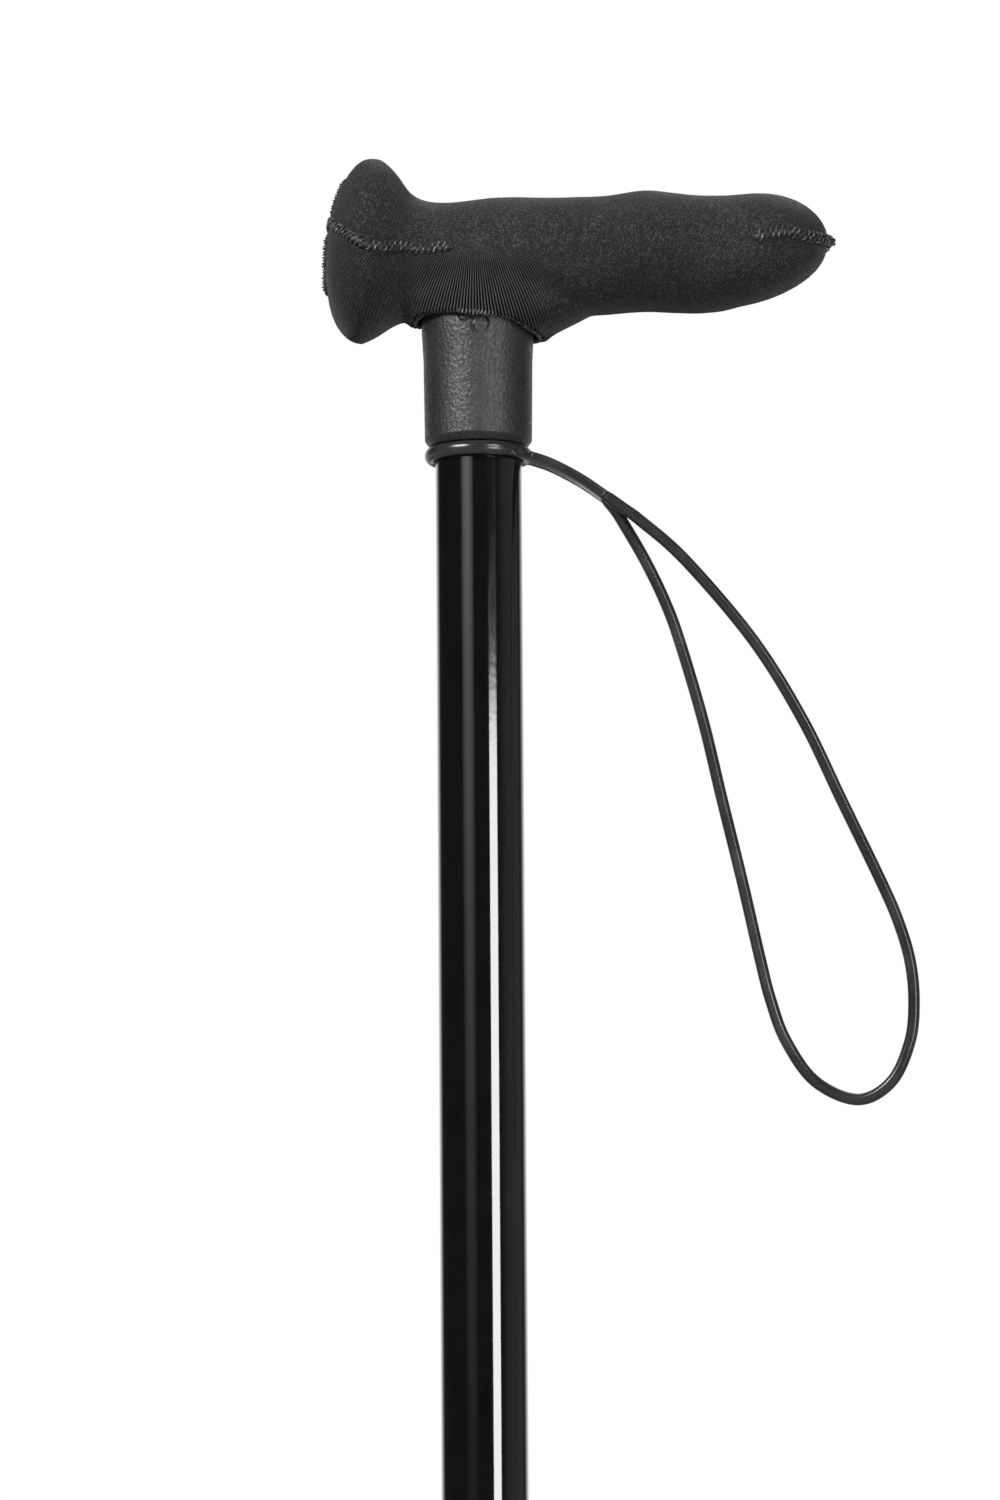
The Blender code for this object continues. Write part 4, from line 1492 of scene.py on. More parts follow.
    def ridge_ring(
        self, frame: tuple[Vector, Vector, Vector, float], scale: float, index: int, count: int
    ) -> list[Vector]:
        """One section of the folded cloth under the threads.

        Args:
            frame: The place, the outward and the sideways direction, and the share of the
                full width.
            scale: The seam's size against a plain one.
            index: The section's number, which sets its unevenness.
            count: The number of sections.

        Returns:
            The section's points.
        """
        point, up, side, narrow = frame
        wide = self.ridge_wide * scale / 2
        tall = self.ridge_tall * scale
        swell = 0.92 + 0.12 * noise.noise(Vector((index * 0.23, 3.1, 0)))
        from_end = min(index, count - 1 - index)
        # each end is rounded off over its last 8 sections
        swell *= math.sqrt(1 - (1 - min((from_end + 0.3) / 8, 1)) ** 2)
        ring = []
        for angle in circle(self.ridge_sides):
            across = side * wide * narrow * swell * math.cos(angle)
            ring.append(point + across + up * tall * swell * math.sin(angle) * 0.85)
        return ring

    def hem_stitches(self) -> Object:
        """Sews the hem: a thread that loops over the cover's edge all round the neck."""
        points = []
        steps = self.hem_turns * self.hem_steps
        radius = self.cover.hem_radius + self.hem_coil[0]
        for i in range(steps + 1):
            angle = 2 * math.pi * i / steps
            wound = 2 * math.pi * i / self.hem_steps
            loose = 1 + 0.3 * noise.noise(Vector((math.cos(angle) * 9, math.sin(angle) * 9, 0)))
            out = radius + self.hem_reach[0] * loose * math.cos(wound)
            rise = self.hem_coil[1] + self.hem_reach[1] * loose * math.sin(wound)
            points.append(self.cover.hem_point(angle, out, rise))
        return bead("hem_stitches", points, self.thread_radius, 1)


@dataclass
class HandleCore:
    """The moulded core of the grip: a foam-filled body, and the neck that takes the tube."""

    form: GripForm
    cover: GripCover
    neck_low: float = 0.0136
    neck_high: float = 0.01385
    neck_flare: float = 0.01425
    mouth: float = 0.01225
    socket: float = 0.0113
    chamfer: float = 0.0018
    top: float = 0.0345
    flare_from: float = 0.0225
    flare_to: float = 0.0295
    parting_angle: float = 18.0
    parting_radius: float = 0.0001
    pin_groove: float = 0.00034
    play: float = 0.0006
    pin_marks: Rows = (
        # along X, height above the neck's end, and radius
        (0.0006, 0.0294, 0.0023),
        (-0.0033, 0.0325, 0.0020),
    )

    def neck(self) -> Object:
        """Moulds the neck, with its chamfered mouth, parting lines and ejector marks."""
        z = NECK_END
        profile = [
            Corner(self.neck_flare, z + self.top, 0.0003),
            Corner(self.neck_flare, z + self.flare_to),
            Corner(self.neck_flare - 0.0002, z + 0.0262),
            Corner(self.neck_high, z + self.flare_from),
            Corner(self.neck_low, z + self.chamfer, 0.00025),
            Corner(self.mouth, z, BROKEN),
            Corner(self.socket, z, BROKEN),
            Corner(self.socket, z + self.top, 0.0003),
        ]
        neck = turn("core_neck", profile, Ends.BRIDGED, 144)
        near = []
        steps = 23
        for i in range(steps + 1):
            share = i / steps
            radius = self.neck_low + (self.neck_high - self.neck_low) * min(share * 1.4, 1)
            radius += (self.neck_flare - self.neck_high) * smoothstep(0.6, 0.85, share)
            height = z + self.chamfer + 0.0004 + (self.top - self.chamfer - 0.001) * share
            near.append(round_axis(radius, math.radians(self.parting_angle), height))
        far = [Vector((-p.x, -p.y, p.z)) for p in near]
        pieces = [
            neck,
            bead("parting_near", near, self.parting_radius, 1),
            bead("parting_far", far, self.parting_radius, 1),
        ]
        for x, height, radius in self.pin_marks:
            groove = self.ring_mark(x, height, radius)
            apply_modifier(neck, "BOOLEAN", operation="DIFFERENCE", solver="EXACT", object=groove)
            bpy.data.objects.remove(groove)
        return settle(join(pieces), 40)

    def ring_mark(self, x: float, height: float, radius: float) -> Object:
        """Makes the cutter for a ring-shaped groove on the neck, as an ejector pin leaves it.

        Args:
            x: The ring's middle along X.
            height: Its middle above the neck's lower end.
            radius: Its radius.

        Returns:
            The ring, bent to the neck.
        """
        points = []
        for turned in circle(36):
            angle = (x + radius * math.cos(turned)) / self.neck_flare
            rise = NECK_END + height + radius * math.sin(turned)
            points.append(round_axis(self.neck_flare + self.pin_groove * 0.15, angle, rise))
        return bead("ring_mark", points, self.pin_groove, 1, closed=True)

    def body(self) -> Object:
        """Moulds the hidden body that fills the cover."""
        inset = self.cover.thickness + self.play
        return all_smooth(grip_skin("core_body", self.form, inset, 48))


@dataclass
class UpperTube:
    """The tube of the handle, with its row of button holes on the near side."""

    radius: float = 0.011
    bore: float = 0.0098
    top: float = 0.8737
    end: float = 0.345
    hole_pitch: float = 0.025
    hole_count: int = 7

    def build(self) -> Object:
        """Builds the tube, drills its holes and marks the paint as rubbed round them."""
        profile = pipe(self.radius, self.bore, self.top, self.end)
        tube = turn("upper_tube_painted", profile, Ends.BRIDGED, 128)
        middle = (self.hole_count - 1) / 2
        heights = [
            BUTTON_HEIGHT + (i - middle) * self.hole_pitch for i in range(self.hole_count)
        ]
        drill_row(tube, self.radius, heights)

        def wear(point: Vector) -> float:
            """Paint rubs off at the holes' edges and the tube's end."""
            rub = falling(0.0, 0.0012, point.z - self.end)
            return max([rub] + [rim_wear(point, height) for height in heights])

        mark(tube, "wear", wear)
        return settle(tube, 30)


def rim_wear(point: Vector, height: float) -> float:
    """How much the paint is rubbed off round a button hole at a height, on the near wall."""
    apart = math.hypot(point.x, point.z - height)
    return falling(HOLE_RADIUS, HOLE_RADIUS + 0.0005, apart) if point.y < 0 else 0.0


def drill_row(tube: Object, radius: float, heights: Sequence[float]) -> None:
    """Drills a row of button holes through a tube's near wall.

    Args:
        tube: The tube.
        radius: Its outer radius.
        heights: The holes' heights.
    """
    margin = 0.0012
    with Edit(tube):
        for height in heights:
            # a cut above and below each hole keeps the long faces between them plain
            for edge in (height - HOLE_RADIUS - margin, height + HOLE_RADIUS + margin):
                bpy.ops.mesh.select_all(action="SELECT")
                bpy.ops.mesh.bisect(plane_co=(0, 0, edge), plane_no=(0, 0, 1))
    bpy.ops.mesh.primitive_cylinder_add(
        vertices=48,
        radius=HOLE_RADIUS,
        depth=radius,
        location=(0, -radius, heights[0]),
        rotation=(math.pi / 2, 0, 0),
    )
    first = bpy.context.object
    drills = [first]
    for height in heights[1:]:
        copy = first.copy()
        copy.data = first.data.copy()
        copy.location.z = height
        bpy.context.scene.collection.objects.link(copy)
        drills.append(copy)
    drill = join(drills)
    apply_modifier(tube, "BOOLEAN", operation="DIFFERENCE", solver="EXACT", object=drill)
    bpy.data.objects.remove(drill)


@dataclass
class LowerShaft:
    """The sliding tube and its rubber foot."""

    radius: float = 0.0095
    bore: float = 0.0083
    top: float = 0.488
    end: float = 0.0138
    foot_height: float = 0.052
    foot_base: float = 0.0190
    foot_bore: float = 0.0098
    foot_sleeve: float = 0.0128
    foot_floor: float = 0.012
    bead_out: float = 0.0008
    ribs: int = 5
    rib_half: float = 0.0007
    tread_depth: float = 0.0012
    treads: Rows = ((0.0080, 0.0105), (0.0130, 0.0150))

    def tube(self) -> Object:
        """Builds the sliding tube with the button's hole."""
        profile = pipe(self.radius, self.bore, self.top, self.end)
        tube = turn("lower_tube_painted", profile, Ends.BRIDGED, 112)
        drill_row(tube, self.radius, [BUTTON_HEIGHT])

        def wear(point: Vector) -> float:
            """Paint rubs off at the upper end and round the hole."""
            at_top = smoothstep(self.top - 0.001, self.top, point.z)
            return max(rim_wear(point, BUTTON_HEIGHT), at_top)

        mark(tube, "wear", wear)
        return settle(tube, 30)

    def foot(self) -> Object:
        """Moulds the foot: a beaded sleeve, a ribbed skirt and a ringed tread."""
        sleeve, base, tall = self.foot_sleeve, self.foot_base, self.foot_height
        profile = [
            Corner(self.foot_bore, self.foot_floor),
            Corner(self.foot_bore, tall, 0.0004),
            Corner(sleeve + self.bead_out, tall, 0.0006),
            Corner(sleeve + self.bead_out, tall - 0.004, 0.0006),
            Corner(sleeve, tall - 0.0048, 0.0004),
            Corner(sleeve, tall * 0.60, 0.0015),
        ]
        for i in range(self.ribs):
            share = i / (self.ribs - 1)
            height = tall * (0.54 - 0.36 * share)
            radius = sleeve + (base - sleeve) * (0.14 + 0.72 * share)
            profile.append(Corner(radius, height + self.rib_half, BROKEN))
            profile.append(Corner(radius - 0.0006, height, BROKEN))
            profile.append(Corner(radius + 0.0003, height - self.rib_half, BROKEN))
        profile += [
            Corner(base, 0.0055, 0.0006),
            Corner(base, 0.0015, 0.0004),
            Corner(base - 0.0015, 0.0, 0.0003),
        ]
        for inner, outer in reversed(self.treads):
            # a groove has a pipe's four corners: two in the tread and two at its bed
            profile += pipe(outer, inner, 0.0, self.tread_depth)
        profile.append(Corner(0.0015, 0.0))
        return settle(turn("rubber_foot", profile, Ends.CAPPED, 96), 35)


@dataclass
class SnapButton:
    """The plated button that locks the height."""

    radius: float = 0.003
    base_radius: float = 0.0040
    base_thick: float = 0.0012
    dome: float = 0.0012
    dome_steps: Rows = (
        # shares of the radius, and of the dome's height below its tip
        (0.18, 0.0),
        (0.52, 0.14),
        (0.80, 0.42),
        (0.96, 0.78),
        (1.0, 1.1),
    )

    def build(self) -> Object:
        """Turns the button upright, and then lays it along its hole's axis."""
        low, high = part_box("snap_button")
        tip, back = -low.y, -high.y
        profile = [
            Corner(self.radius * out, tip - self.dome * down) for out, down in self.dome_steps
        ]
        profile += [
            Corner(self.radius, back + self.base_thick, 0.0001),
            Corner(self.base_radius, back + self.base_thick, BROKEN),
            Corner(self.base_radius, back, BROKEN),
        ]
        button = turn("plated_button", profile, Ends.CAPPED, 48)
        button.rotation_euler = (math.pi / 2, 0, 0)
        button.location = (0, 0, BUTTON_HEIGHT)
        return settle(button, 35)


@dataclass
class LockingCollar:
    """The grooved collar that turns on the bush at the upper tube's end."""

    outer: float = 0.0155
    inner: float = 0.0129
    mouth: float = 0.0098
    top: float = 0.357
    end: float = 0.3317
    lip: float = 0.003
    taper: float = 0.002
    grooves: int = 18
    groove_share: float = 0.52
    margin: float = 0.0055
    depth: float = 0.0008
    groove_step: float = 0.0003
    bush_outer: float = 0.0126
    bush_inner: float = 0.0113
    bush_seat: float = 0.0123
    bush_play: float = 0.0003

    def collar(self) -> Object:
        """Moulds the collar: its grooves are pressed in between two plain bands."""
        low = self.end + self.margin
        high = self.top - self.margin
        profile = [
            Corner(self.outer - 0.001, self.top, BROKEN),
            Corner(self.outer, self.top - 0.001, 0.0004),
            Corner(self.outer, high),
            Corner(self.outer, low),
            Corner(self.outer, self.end + self.taper * 1.5, 0.0006),
            Corner(self.outer - self.taper, self.end, 0.0004),
            Corner(self.mouth, self.end, BROKEN),
            Corner(self.mouth, self.end + self.lip),
            Corner(self.inner, self.end + self.lip),
            Corner(self.inner, self.top, BROKEN),
        ]
        collar = turn("grooved_collar", profile, Ends.BRIDGED, self.grooves * 8)

        def in_groove(point: Vector) -> bool:
            """Says whether a face of the middle band lies in a groove."""
            outside = from_axis(point) > (self.inner + self.outer) / 2
            if not outside or abs(point.z - (low + high) / 2) > 0.0001:
                return False
            share = math.atan2(point.y, point.x) / (2 * math.pi) * self.grooves
            return abs(share - math.floor(share) - 0.5) < self.groove_share / 2

        with Edit(collar) as edit:
            edit.pick(Element.FACE, in_groove)
            # two steps down: the groove's sloping wall, and its rounded bed
            for _ in range(2):
                bpy.ops.mesh.inset(thickness=self.groove_step, depth=-self.depth / 2)
            edit.tidy()
        return settle(collar, 40)

    def bush(self) -> Object:
        """Moulds the bush, with its bearing lip under the tube."""
        low = self.end + self.lip + self.bush_play
        seat = self.top - self.bush_seat
        profile = [
            Corner(self.bush_outer, self.top, BROKEN),
            Corner(self.bush_outer, low, BROKEN),
            Corner(self.mouth, low, BROKEN),
            Corner(self.mouth, seat),
            Corner(self.bush_inner, seat),
            Corner(self.bush_inner, self.top, BROKEN),
        ]
        return settle(turn("nylon_bush", profile, Ends.BRIDGED, 96), 35)


@dataclass
class WristStrap:
    """The rubber strap: a ring round the tube, a flat stem and the free strand of its loop."""

    ring_radius: float = 0.01240
    ring_height: float = 0.8239
    ring_thick: float = 0.0025
    ring_tall: float = 0.0036
    stem_width: float = 0.0064
    stem_thick: Span = (0.0020, 0.0027)
    stem_tilt: float = 8.0
    stem_lip: float = 0.00045
    strand_radius: float = 0.0015
    strand_flat: float = 21.0
    strand_step: float = 0.0009
    spacing: float = 0.0034
    # how far before the stem's end the strand's two ends start inside it
    overlap: float = 0.0016
    gate: tuple[float, float, float] = (0.0090, -0.0100, 0.8226)
    gate_radius: float = 0.0006
    voxel: float = 0.00023
    stem_route: Rows = (
        # outwards and up from the middle of the ring's section
        (-0.0005, 0.0),
        (0.0057, -0.0021),
        (0.0132, -0.0061),
        (0.0195, -0.0105),
    )
    strand_route: Rows = (
        # the strand's places, with their heights above the neck's lower end
        (0.0346, 0.0018, -0.0160),
        (0.0368, 0.0022, -0.0195),
        (0.0421, 0.0030, -0.0288),
        (0.0469, 0.0040, -0.0389),
        (0.0506, 0.0048, -0.0491),
        (0.0564, 0.0056, -0.0695),
        (0.0611, 0.0060, -0.0900),
        (0.0659, 0.0056, -0.1106),
        (0.0704, 0.0048, -0.1314),
        (0.0729, 0.0040, -0.1418),
        (0.0766, 0.0028, -0.1523),
        (0.0838, 0.0012, -0.1629),
        (0.0945, -0.0006, -0.1679),
        (0.1030, -0.0022, -0.1636),
        (0.1077, -0.0034, -0.1536),
        (0.1088, -0.0042, -0.1434),
        (0.1079, -0.0050, -0.1333),
        (0.1050, -0.0056, -0.1232),
        (0.1007, -0.0062, -0.1130),
        (0.0911, -0.0066, -0.0925),
        (0.0815, -0.0060, -0.0717),
        (0.0691, -0.0048, -0.0508),
        (0.0523, -0.0032, -0.0300),
        (0.0409, -0.0022, -0.0194),
        (0.0362, -0.0018, -0.0158),
    )

    def stem_line(self) -> list[Vector]:
        """The middle line of the stem, in the model's frame."""
        points = [
            (self.ring_radius + out, 0, self.ring_height + up) for out, up in self.stem_route
        ]
        return smooth_route(points, 0.0011)

    def strand_line(self) -> list[Vector]:
        """The middle line of the loop's strand, from the far side back to the near side."""
        stem = self.stem_line()
        along = (stem[-1] - stem[-2]).normalized()
        start = stem[-1] - along * self.overlap
        far_end = start + Vector((0, self.spacing / 2, 0))
        near_end = start - Vector((0, self.spacing / 2, 0))
        free = [far_end + along * self.strand_radius]
        free += [Vector(p) + Vector((0, 0, NECK_END)) for p in self.strand_route]
        free += [near_end + along * self.strand_radius]
        return [far_end] + smooth_route(free, self.strand_step) + [near_end]

    def loop(self) -> tuple[Object, list[Vector]]:
        """Moulds the strand, with the narrow flats along its mould's parting lines.

        Returns:
            The strand and the line that it follows.
        """
        line = self.strand_line()
        rings = []
        side = Vector((0, 1, 0))
        total = length_of(line)
        walked = 0.0
        for i, point in enumerate(line):
            ahead = heading(line, i).normalized()
            side = (side - ahead * side.dot(ahead)).normalized()
            up = ahead.cross(side)
            if i:
                walked += (point - line[i - 1]).length
            twist = math.radians(200 + 4 * math.sin(walked / 0.036) + 5 * math.sin(walked / 0.09))
            from_end = min(walked, total - walked)
            # the ends that lie inside the stem are drawn in, so that none shows through
            drawn_in = 0.82 + 0.18 * smoothstep(0.0012, 0.0030, from_end)
            ring = []
            for angle in circle(36):
                radius = self.strand_radius * self.parting(angle) * drawn_in
                spread = angle + twist
                ring.append(
                    point + side * radius * math.cos(spread) + up * radius * math.sin(spread)
                )
            rings.append(ring)
        return all_smooth(loft("strap_loop_strand", rings)), line

    def parting(self, angle: float) -> float:
        """The radius's share at an angle round the strand: its parting lines are ground flat."""
        apart = min(abs(angle - a) for a in (0.0, math.pi, 2 * math.pi))
        flat = math.radians(self.strand_flat)
        return math.cos(flat) / math.cos(apart) if apart < flat else 1.0

    def ring(self) -> Object:
        """Moulds the ring, the stem and the gate's stub as one piece."""
        bpy.ops.mesh.primitive_torus_add(
            major_radius=self.ring_radius,
            minor_radius=self.ring_thick / 2,
            major_segments=128,
            minor_segments=24,
            location=(0, 0, self.ring_height),
        )
        ring = bpy.context.object
        ring.name = "strap_ring_moulding"
        bake_place()
        with Edit(ring):
            bpy.ops.mesh.select_all(action="SELECT")
            bpy.ops.transform.resize(
                value=(1, 1, self.ring_tall / self.ring_thick),
                center_override=(0, 0, self.ring_height),
            )
        stem = self.stem()
        bpy.ops.mesh.primitive_uv_sphere_add(
            segments=16, ring_count=8, radius=self.gate_radius, location=self.gate
        )
        gate = bpy.context.object
        bake_place()
        moulding = join([ring, stem, gate])
        apply_modifier(moulding, "REMESH", mode="VOXEL", voxel_size=self.voxel)
        apply_modifier(moulding, "SMOOTH", factor=0.5, iterations=6)
        return all_smooth(moulding)

    def stem(self) -> Object:
        """Draws the stem out along its line: grooved on top, and flat between two lips below."""
        line = self.stem_line()
        rings = []
        for i, point in enumerate(line):
            share = i / (len(line) - 1)
            up = Vector((0, -1, 0)).cross(heading(line, i).normalized()).normalized()
            thick = self.stem_thick[0] * (1 - share) + self.stem_thick[1] * share
            tilt = math.radians(self.stem_tilt) * (1 - share)
            side = Vector((0, math.cos(tilt), 0)) - up * math.sin(tilt)
            up = up * math.cos(tilt) + Vector((0, math.sin(tilt), 0))
            ring = []
            for angle in circle(64):
                cosine, sine = math.cos(angle), math.sin(angle)
                across = self.stem_width / 2 * math.copysign(abs(cosine) ** 0.6, cosine)
                rise = thick / 2 * math.copysign(abs(sine) ** 0.45, sine)
                if sine > 0:
                    # the groove on top deepens towards the fork
                    rise *= 1 - 0.3 * share * falling(0.0, 0.0017, abs(across))
                elif sine < 0:
                    edge = self.stem_width / 2
                    rise -= self.stem_lip * smoothstep(edge - 0.0007, edge - 0.0003, abs(across))
                ring.append(point + side * across + up * rise)
            rings.append(ring)
        return loft("stem", rings)


@dataclass
class Studio:
    """The camera, the soft lights, the white surroundings and the pale floor."""

    look_at: Vector = Vector((0.00494, 0.0, 0.7482))
    distance: float = 4.0
    elevation: float = -10.0
    roll: float = 0.377
    view_height: float = 0.3793
    ambient: float = 0.06
    ambient_behind: float = 0.4
    room: float = 0.03
    side_wall: float = 0.16

    def camera(self) -> None:
        """Sets up the camera at the photograph's angle."""
        data = bpy.data.cameras.new("camera")
        data.sensor_width = 36
        data.lens = data.sensor_width * self.distance / self.view_height
        data.clip_end = 50
        camera = bpy.data.objects.new("camera", data)
        rise = math.radians(self.elevation)
        back = Vector((0, -math.cos(rise), math.sin(rise)))
        camera.location = self.look_at + back * self.distance
        upright = (-back).to_track_quat("-Z", "Y").to_matrix()
        turned = upright @ Matrix.Rotation(-math.radians(self.roll), 3, "Z")
        camera.rotation_euler = turned.to_euler()
        bpy.context.scene.collection.objects.link(camera)
        bpy.context.scene.camera = camera

    def softbox(
        self,
        name: str,
        azimuth: float,
        elevation: float,
        distance: float,
        size: Span,
        power: float,
        aim_height: float = 0.75,
        fading: Optional[float] = None,
        top_fade: float = 0.0,
    ) -> None:
        """Hangs a rectangular soft light.

        Args:
            name: The light's name.
            azimuth: Degrees to the right of the camera's direction.
            elevation: Degrees up.
            distance: Its distance from the shaft's axis.
            size: Its width and height.
            power: Its power in watts.
            aim_height: The height on the shaft that it points at.
            fading: How steeply the light falls off to its lower edge, if it has soft sides.
            top_fade: The share of its height over which it falls off to its upper edge.
        """
        data = bpy.data.lights.new(name, "AREA")
        data.shape = "RECTANGLE"
        data.size, data.size_y = size
        data.energy = power
        if fading is not None or top_fade:
            self.fade(data, fading, top_fade)
        light = bpy.data.objects.new(name, data)
        turned, rise = math.radians(azimuth), math.radians(elevation)
        out = round_axis(math.cos(rise), turned, math.sin(rise))
        light.location = Vector((0, 0, aim_height)) + out * distance
        light.rotation_euler = (-out).to_track_quat("-Z", "Y").to_euler()
        bpy.context.scene.collection.objects.link(light)

    @staticmethod
    def fade(data: Light, fading: Optional[float], top_fade: float) -> None:
        """Makes a rectangular light fall off to its sides and its lower edge, or to its top.

        Args:
            data: The light.
            fading: The power of the height that its strength follows, or None for the top.
            top_fade: The share of its height that the fall to the top takes.
        """
        data.use_nodes = True
        tree = data.node_tree
        spot = add_node(tree, "NewGeometry").outputs["Parametric"]
        parts = add_node(tree, "SeparateXYZ", {0: spot}).outputs
        if fading is None:
            strength = add_node(
                tree,
                "MapRange",
                {"Value": parts["Y"], "From Min": 1.0, "From Max": 1 - top_fade},
                interpolation_type="SMOOTHSTEP",
            ).outputs["Result"]
        else:
            across = add_node(
                tree, "Math", {0: parts["X"], 1: math.pi}, operation="MULTIPLY"
            ).outputs[0]
            bow = add_node(tree, "Math", {0: across}, operation="SINE").outputs[0]
            rise = add_node(tree, "Math", {0: parts["Y"], 1: fading}, operation="POWER").outputs[0]
            strength = add_node(tree, "Math", {0: bow, 1: rise}, operation="MULTIPLY").outputs[0]
        fill_inputs(tree, tree.nodes["Emission"], {"Strength": strength})

    def lights(self) -> None:
        """Hangs the lights: four boxes above, and four upright panels for the glossy pieces."""
        self.softbox("key_box", -38, 36, 2.2, (1.1, 0.3), 1.2)
        self.softbox("overhead_box", 0, 78, 2.2, (1.0, 1.0), 1.2)
        self.softbox("high_right_box", 33, 28, 2.0, (0.8, 0.35), 9.0)
        self.softbox("back_box", 165, 60, 2.4, (1.4, 1.4), 9.0)
        self.softbox("right_panel", 40, 0, 1.5, (0.3, 0.45), 2.2, 1.38, 0.0)
        self.softbox("left_panel", -42, 0, 1.5, (1.0, 0.34), 108.0, 1.5, 1.0)
        self.softbox("strip_light", 33.8, 0, 1.5, (0.54, 0.62), 9.2, 0.74, None, 0.07)
        self.softbox("window_box", -32, 0, 1.5, (0.95, 0.64), 2.3, 0.82, 3.0)

    def world(self) -> None:
        """Lights the surroundings: white behind the object, and a dark room in front of it."""
        world = bpy.data.worlds.new("studio")
        bpy.context.scene.world = world
        world.use_nodes = True
        tree = world.node_tree
        background = tree.nodes["Background"]
        direction = add_node(tree, "TexCoord").outputs["Generated"]
        parts = add_node(tree, "SeparateXYZ", {0: direction}).outputs
        walls = []
        for axis, low, high, least, most, rise in (
            # the wall to the right and the white behind as mirrored, and the light on matt pieces
            ("X", 0.72, 0.97, self.room, self.side_wall, "SMOOTHSTEP"),
            ("Y", 0.62, 0.92, 0.0, 1.0, "SMOOTHSTEP"),
            ("Y", 0.2, 1.0, self.ambient, self.ambient_behind, "LINEAR"),
        ):
            limits = {"From Min": low, "From Max": high, "To Min": least, "To Max": most}
            wall = add_node(
                tree, "MapRange", {"Value": parts[axis], **limits}, interpolation_type=rise
            )
            walls.append(wall.outputs["Result"])
        mirrored = add_node(
            tree, "Mix", {"Factor": walls[1], "A": walls[0], "B": 1.0}
        ).outputs["Result"]
        rays = add_node(tree, "LightPath").outputs
        strength = walls[2]
        for ray, other in (
            ("Is Glossy Ray", mirrored),
            ("Is Transmission Ray", 1.0),
            ("Is Camera Ray", 1.0),
        ):
            strength = add_node(
                tree, "Mix", {"Factor": rays[ray], "A": strength, "B": other}
            ).outputs["Result"]
        fill_inputs(tree, background, {"Strength": strength, "Color": (1, 1, 1, 1)})

    def floor(self) -> None:
        """Lays the pale floor that the cane stands on, which fades into the white behind it."""
        bpy.ops.object.select_all(action="DESELECT")
        bpy.ops.mesh.primitive_plane_add(size=16, location=(0, 0, -0.0002))
        floor = bpy.context.object
        floor.name = "studio_floor"
        material = bpy.data.materials.new("painted_floor")
        material.use_nodes = True
        tree = material.node_tree
        shader = tree.nodes["Principled BSDF"]
        where = add_node(tree, "TexCoord").outputs["Object"]
        cloud = add_node(
            tree, "TexNoise", {"Vector": where, "Scale": 3.0, "Detail": 3.0}
        ).outputs["Fac"]
        colour = add_node(
            tree,
            "Mix",
            {"Factor": cloud, "A": linear("#F4F4F3"), "B": linear("#EFEFEE")},
            data_type="RGBA",
        ).outputs["Result"]
        rays = add_node(tree, "LightPath").outputs
        # to the pieces it gives back less light than it shows, as a small sheet of paper would
        shown = add_node(
            tree,
            "Mix",
            {"Factor": rays["Is Camera Ray"], "A": linear("#BCBCBB"), "B": colour},
            data_type="RGBA",
        ).outputs["Result"]
        fill_inputs(tree, shader, {"Base Color": shown, "Roughness": 0.85})
        apart = add_node(tree, "VectorMath", {0: where}, operation="LENGTH").outputs["Value"]
        share = 0.0
        for ray, low, high, least, most in (
            # how white it gets with the distance: to the camera, and mirrored near and far
            ("Is Camera Ray", 0.0, 0.7, 0.55, 1.0),
            ("Is Glossy Ray", 1.0, 4.0, 0.0, 0.35),
            ("Is Glossy Ray", 4.2, 6.0, 0.0, 0.65),
        ):
            limits = {"From Min": low, "From Max": high, "To Min": least, "To Max": most}
            far = add_node(
                tree, "MapRange", {"Value": apart, **limits}, interpolation_type="SMOOTHSTEP"
            ).outputs["Result"]
            share = add_node(
                tree, "Math", {0: far, 1: rays[ray], 2: share}, operation="MULTIPLY_ADD"
            ).outputs[0]
        white = add_node(tree, "Emission", {"Color": (1, 1, 1, 1), "Strength": 1.0})
        both = add_node(
            tree, "MixShader", {0: share, 1: shader.outputs[0], 2: white.outputs[0]}
        ).outputs[0]
        # seen from below, the floor doesn't hide the cane
        below = add_node(tree, "NewGeometry").outputs["Backfacing"]
        clear = add_node(tree, "BsdfTransparent").outputs[0]
        sided = add_node(tree, "MixShader", {0: below, 1: both, 2: clear}).outputs[0]
        tree.links.new(sided, tree.nodes["Material Output"].inputs["Surface"])
        floor.data.materials.append(material)


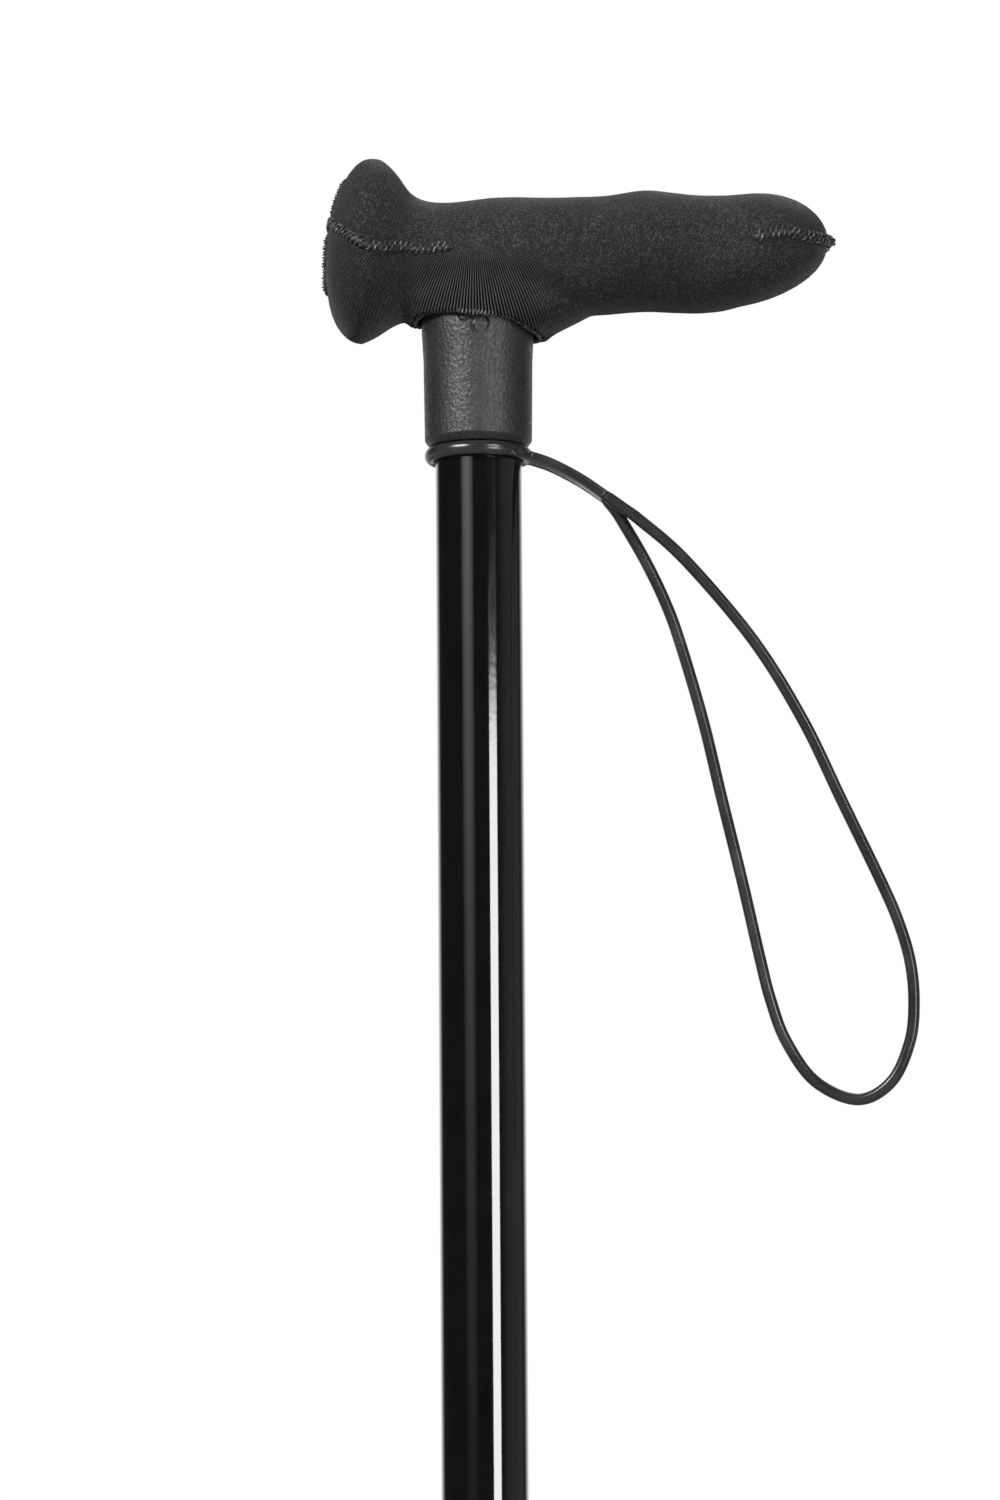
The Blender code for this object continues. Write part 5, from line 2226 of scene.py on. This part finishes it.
class Cane:
    """The whole cane: builds each sub-assembly in order and hangs it on its body."""

    def __init__(self, nodes: dict[str, Object]) -> None:
        """Keeps the CAD nodes and makes the finishes."""
        self.nodes = nodes
        self.form = GripForm()
        self.cover = GripCover(self.form)
        self.rubber = MouldedRubber("moulded_tpe_strap").material()
        self.knit = KnitFabric("knitted_polyester_jersey").material()
        # the pale patches of the threads' colour are a painted highlight for their sheen
        self.thread = SewingThread("overlock_thread_with_painted_sheen").material()
        # the fold under the overlock threads is painted near black: painted shade between the
        # threads
        self.fold = SewingThread("painted_shade_cloth_fold", "#060607", "#1B1B1D", 0.5).material()
        # the hem thread's pale patches are a painted highlight as well
        self.hem_thread = SewingThread("hem_thread_with_painted_sheen", "#363638", "#8E8E90", 0.6).material()
        self.satin = MouldedPlastic("spark_eroded_abs").material()
        self.nylon = MouldedPlastic("moulded_black_nylon", "#1D1D1F", 0.5, 0.6 * MM, 0.2, 1.0)
        self.foam = MouldedPlastic("moulded_pu_core", "#2A2A2B", 0.8, 1.5 * MM, 0.2, 1.0)
        self.enamel = GlossEnamel("stoved_black_enamel").material()
        self.foot_rubber = MouldedRubber(
            "vulcanised_foot_rubber", "#1A1A1B", "#6B6965", 0.28, 0.7, 0.8 * MM
        )
        self.plate = BareSteel("nickel_plated_steel").material()
        self.spring_steel = BareSteel("blued_spring_steel", "#8E8F92", 0.3).material()

    def strap(self) -> None:
        """Builds the wrist strap."""
        strap = WristStrap()
        loop, line = strap.loop()
        place(loop, self.rubber, Body.STRAP, ["strap_loop"])
        place(strap.ring(), self.rubber, Body.STRAP, ["strap_ring"])

    def grip(self) -> None:
        """Builds the core, the cover and its seams."""
        core = HandleCore(self.form, self.cover)
        place(core.neck(), self.satin, Body.HANDLE, ["grip_core"])
        place(core.body(), self.foam.material(), Body.HANDLE)
        cloth = self.cover.build()
        place(cloth, self.knit, Body.HANDLE, ["knit_cover"])
        seams = GripSeams(self.form, self.cover, self.fold, self.thread)
        gap = seams.upright_gap
        crossing = seams.side_dome[-1][0]
        above = seams.upright_route(seams.upright_top, crossing + gap)
        below = seams.upright_route(crossing - gap, seams.upright_end)
        nose = seams.both_sides(seams.dome_route(seams.nose_dome, True))
        for name, route, scale, ragged, nib, node in (
            ("overlock_side", seams.side_route(), 1.0, 0.15, 0.0, "flange_seam_side"),
            ("overlock_upper", above, 1.0, 0.15, 0.0, "flange_seam_upper"),
            ("overlock_lower", below, 1.2, 0.45, 0.0, "flange_seam_lower"),
            ("overlock_nose", nose, 1.15, 0.38, 0.0010, "nose_seam"),
        ):
            seam = seams.overlock(name, route, scale, ragged, nib)
            place(seam, None, Body.HANDLE, [node])
        hem = seams.hem_stitches()
        place(hem, self.hem_thread, Body.HANDLE, ["hem_thread"])

    def shaft(self) -> None:
        """Builds the tubes, the collar, the button and the foot."""
        place(UpperTube().build(), self.enamel, Body.HANDLE, ["upper_tube"])
        lower = LowerShaft()
        place(lower.tube(), self.enamel, Body.LOWER_SHAFT, ["lower_tube"])
        place(
            lower.foot(), self.foot_rubber.material(), Body.LOWER_SHAFT, ["ferrule"]
        )
        place(SnapButton().build(), self.plate, Body.BUTTON, ["snap_button"])
        lock = LockingCollar()
        nylon = self.nylon.material()
        place(lock.collar(), nylon, Body.COLLAR, ["locking_collar"])
        place(lock.bush(), nylon, Body.HANDLE, ["collar_bush"])
        for name, material in (
            ("tube_insert", nylon),
            ("ferrule_washer", self.plate),
            ("button_spring", self.spring_steel),
        ):
            node = self.nodes[name]
            for slot in node.material_slots:
                slot.material = material
            LOG.info("%s: CAD node with %s", name, material.name)


def main() -> None:
    """Loads the frame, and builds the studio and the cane."""
    logging.basicConfig(level=logging.INFO, format="%(message)s")
    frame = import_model()
    bpy.context.scene.view_settings.view_transform = "Standard"
    studio = Studio()
    studio.camera()
    cane = Cane(frame["nodes"])
    cane.strap()
    cane.grip()
    cane.shaft()
    studio.lights()
    studio.world()
    studio.floor()


if __name__ == "__main__":
    main()
